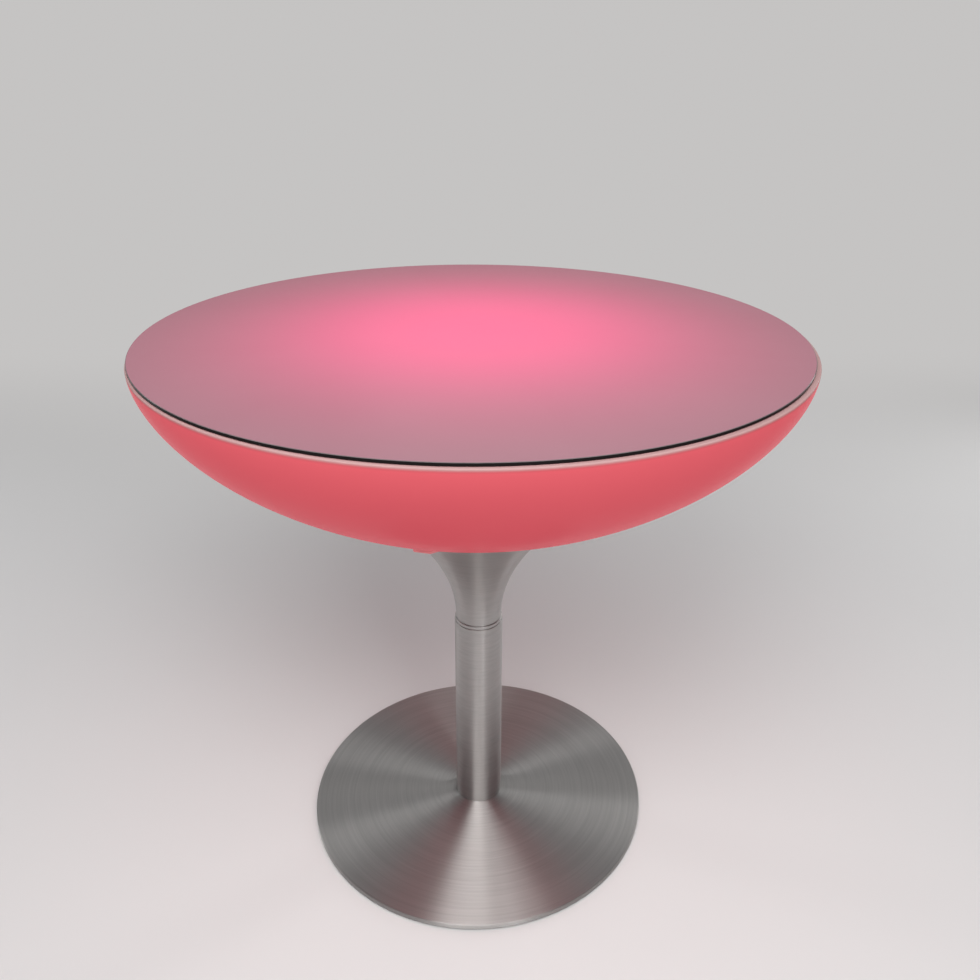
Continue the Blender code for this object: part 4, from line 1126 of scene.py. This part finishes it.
# %% Tie the new pieces to the model
STAND_INS = [(bowl, "table", "bowl_shell", "lit_bowl"),
             (neck, "table", "flared_neck", "spun_aluminium"),
             (tube, "table", "column_tube", "spun_aluminium"),
             (ring, "table", "coupling_ring", "spun_aluminium"),
             (cover, "table", "base_cover", "brushed_cover"),
             (pad, "table", "floor_pad", "floor_rubber"),
             (dome, "table", "diffuser_dome", "opal_plastic"),
             (tray, "table", "module_tray", "cream_plastic"),
             (case, "table", "pod_housing", "cream_plastic"),
             (button, "button", "power_button", "floor_rubber"),
             (flap, "flap", "socket_flap", "floor_rubber"),
             (glass, "glass", "glass_top", "satin_glass")]
for piece, body, node, slot in STAND_INS:
    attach(piece, body)
    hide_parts(node)

# %% [markdown]
# ## Floor and backdrop
#
# The table stands on a plain pale floor that curves up into a wall behind it, as
# a roll of studio paper does. One edge of a plane is extruded upwards, and a wide
# bevel rounds the fold. The wall shows an even tone of its own, so that it needs
# no extra light, which would also fall on the table.

# %% Roll out the paper
PAPER = (0.80, 0.79, 0.78)
PAPER_PALE = (0.83, 0.82, 0.81)
WALL_TONE = (0.56, 0.55, 0.545)
WALL_FADE = (0.5, 2.4)
FLOOR_SIZE = 9
FLOOR_MIDDLE = (0, 0.5, 0)
WALL_HEIGHT = 4
SWEEP = 1.6
SWEEP_SEGMENTS = 24
SWEEP_SHARP = 60
paper = begin("paper", bpy.ops.mesh.primitive_plane_add, size=FLOOR_SIZE, location=FLOOR_MIDDLE)
bpy.ops.mesh.select_all(action='DESELECT')
shape = bmesh.from_edit_mesh(paper.data)
for edge in shape.edges:
    edge.select = all(vertex.co.y > 0 for vertex in edge.verts)
bmesh.update_edit_mesh(paper.data)
bpy.ops.mesh.extrude_region_move(TRANSFORM_OT_translate={"value": (0, 0, WALL_HEIGHT)})
end(paper)
sweep = paper.modifiers.new("sweep", 'BEVEL')
sweep.width = SWEEP
sweep.segments = SWEEP_SEGMENTS
sweep.limit_method = 'ANGLE'
apply_modifiers(paper)
bpy.ops.object.shade_smooth_by_angle(angle=radians(SWEEP_SHARP))
paper_paint = Paint("studio_paper", Roughness=0.9, Specular_IOR_Level=0.1)
mottle = paper_paint.noise(paper_paint.place, 1.5, 2)
paper_paint.feed(Base_Color=paper_paint.mix(mottle, PAPER, PAPER_PALE))
paper_paint.backdrop((paper_paint.y + paper_paint.z).step(*WALL_FADE), WALL_TONE)
paper.data.materials.append(paper_paint.material)
print("paper", len(paper.data.polygons), "faces")

# %% [markdown]
# ## Lamps
#
# Soft lamps are large, so their shadows have no hard edge. A wide one above and a
# small one close over the glass's front light the table. Three narrow upright
# ones draw the long soft gleams on the neck and the tube, and a wide dim one far
# behind lies as a faint sheen on the glass. The world fills the shadows.

# %% Hang the lamps
LAMPS = [
    ("above", (0.4, -2.0, 2.9), (0, 0, 0.3), (3.0, 1.3), 40),
    ("front_right", (0.75, -2.1, 1.3), (0, 0, 0.5), (0.35, 1.9), 6),
    ("left_behind", (-2.1, 0.8, 1.2), (0, 0, 0.5), (0.3, 2.0), 5),
    ("right_behind", (1.8, 1.2, 1.2), (0, 0, 0.5), (0.3, 2.0), 6),
    ("far_behind", (1.0, 4.2, 2.9), (0, -0.3, 0.75), (3.6, 0.5), 9),
    ("near_front", (-0.2, -1.15, 1.7), (0, -0.3, 0.75), (0.9, 0.5), 12),
]
WORLD_TONE = (0.80, 0.82, 0.85, 1)
WORLD_STRENGTH = 0.36


def soft_lamp(name, place, target, size, power):
    """A rectangular lamp at a place, turned to a target; the power is in watts."""
    data = bpy.data.lights.new(name, 'AREA')
    data.shape = 'RECTANGLE'
    data.size, data.size_y = size
    data.energy = power
    lamp = bpy.data.objects.new(name, data)
    lamp.location = place
    lamp.visible_camera = False
    lamp.rotation_euler = (Vector(target) - Vector(place)).to_track_quat('-Z', 'Y').to_euler()
    bpy.context.scene.collection.objects.link(lamp)


for lamp_facts in LAMPS:
    soft_lamp(*lamp_facts)
world = bpy.data.worlds.new("studio")
bpy.context.scene.world = world
world.use_nodes = True
fill = world.node_tree.nodes["Background"].inputs
fill["Color"].default_value = WORLD_TONE
fill["Strength"].default_value = WORLD_STRENGTH
print("lamps", len(LAMPS))
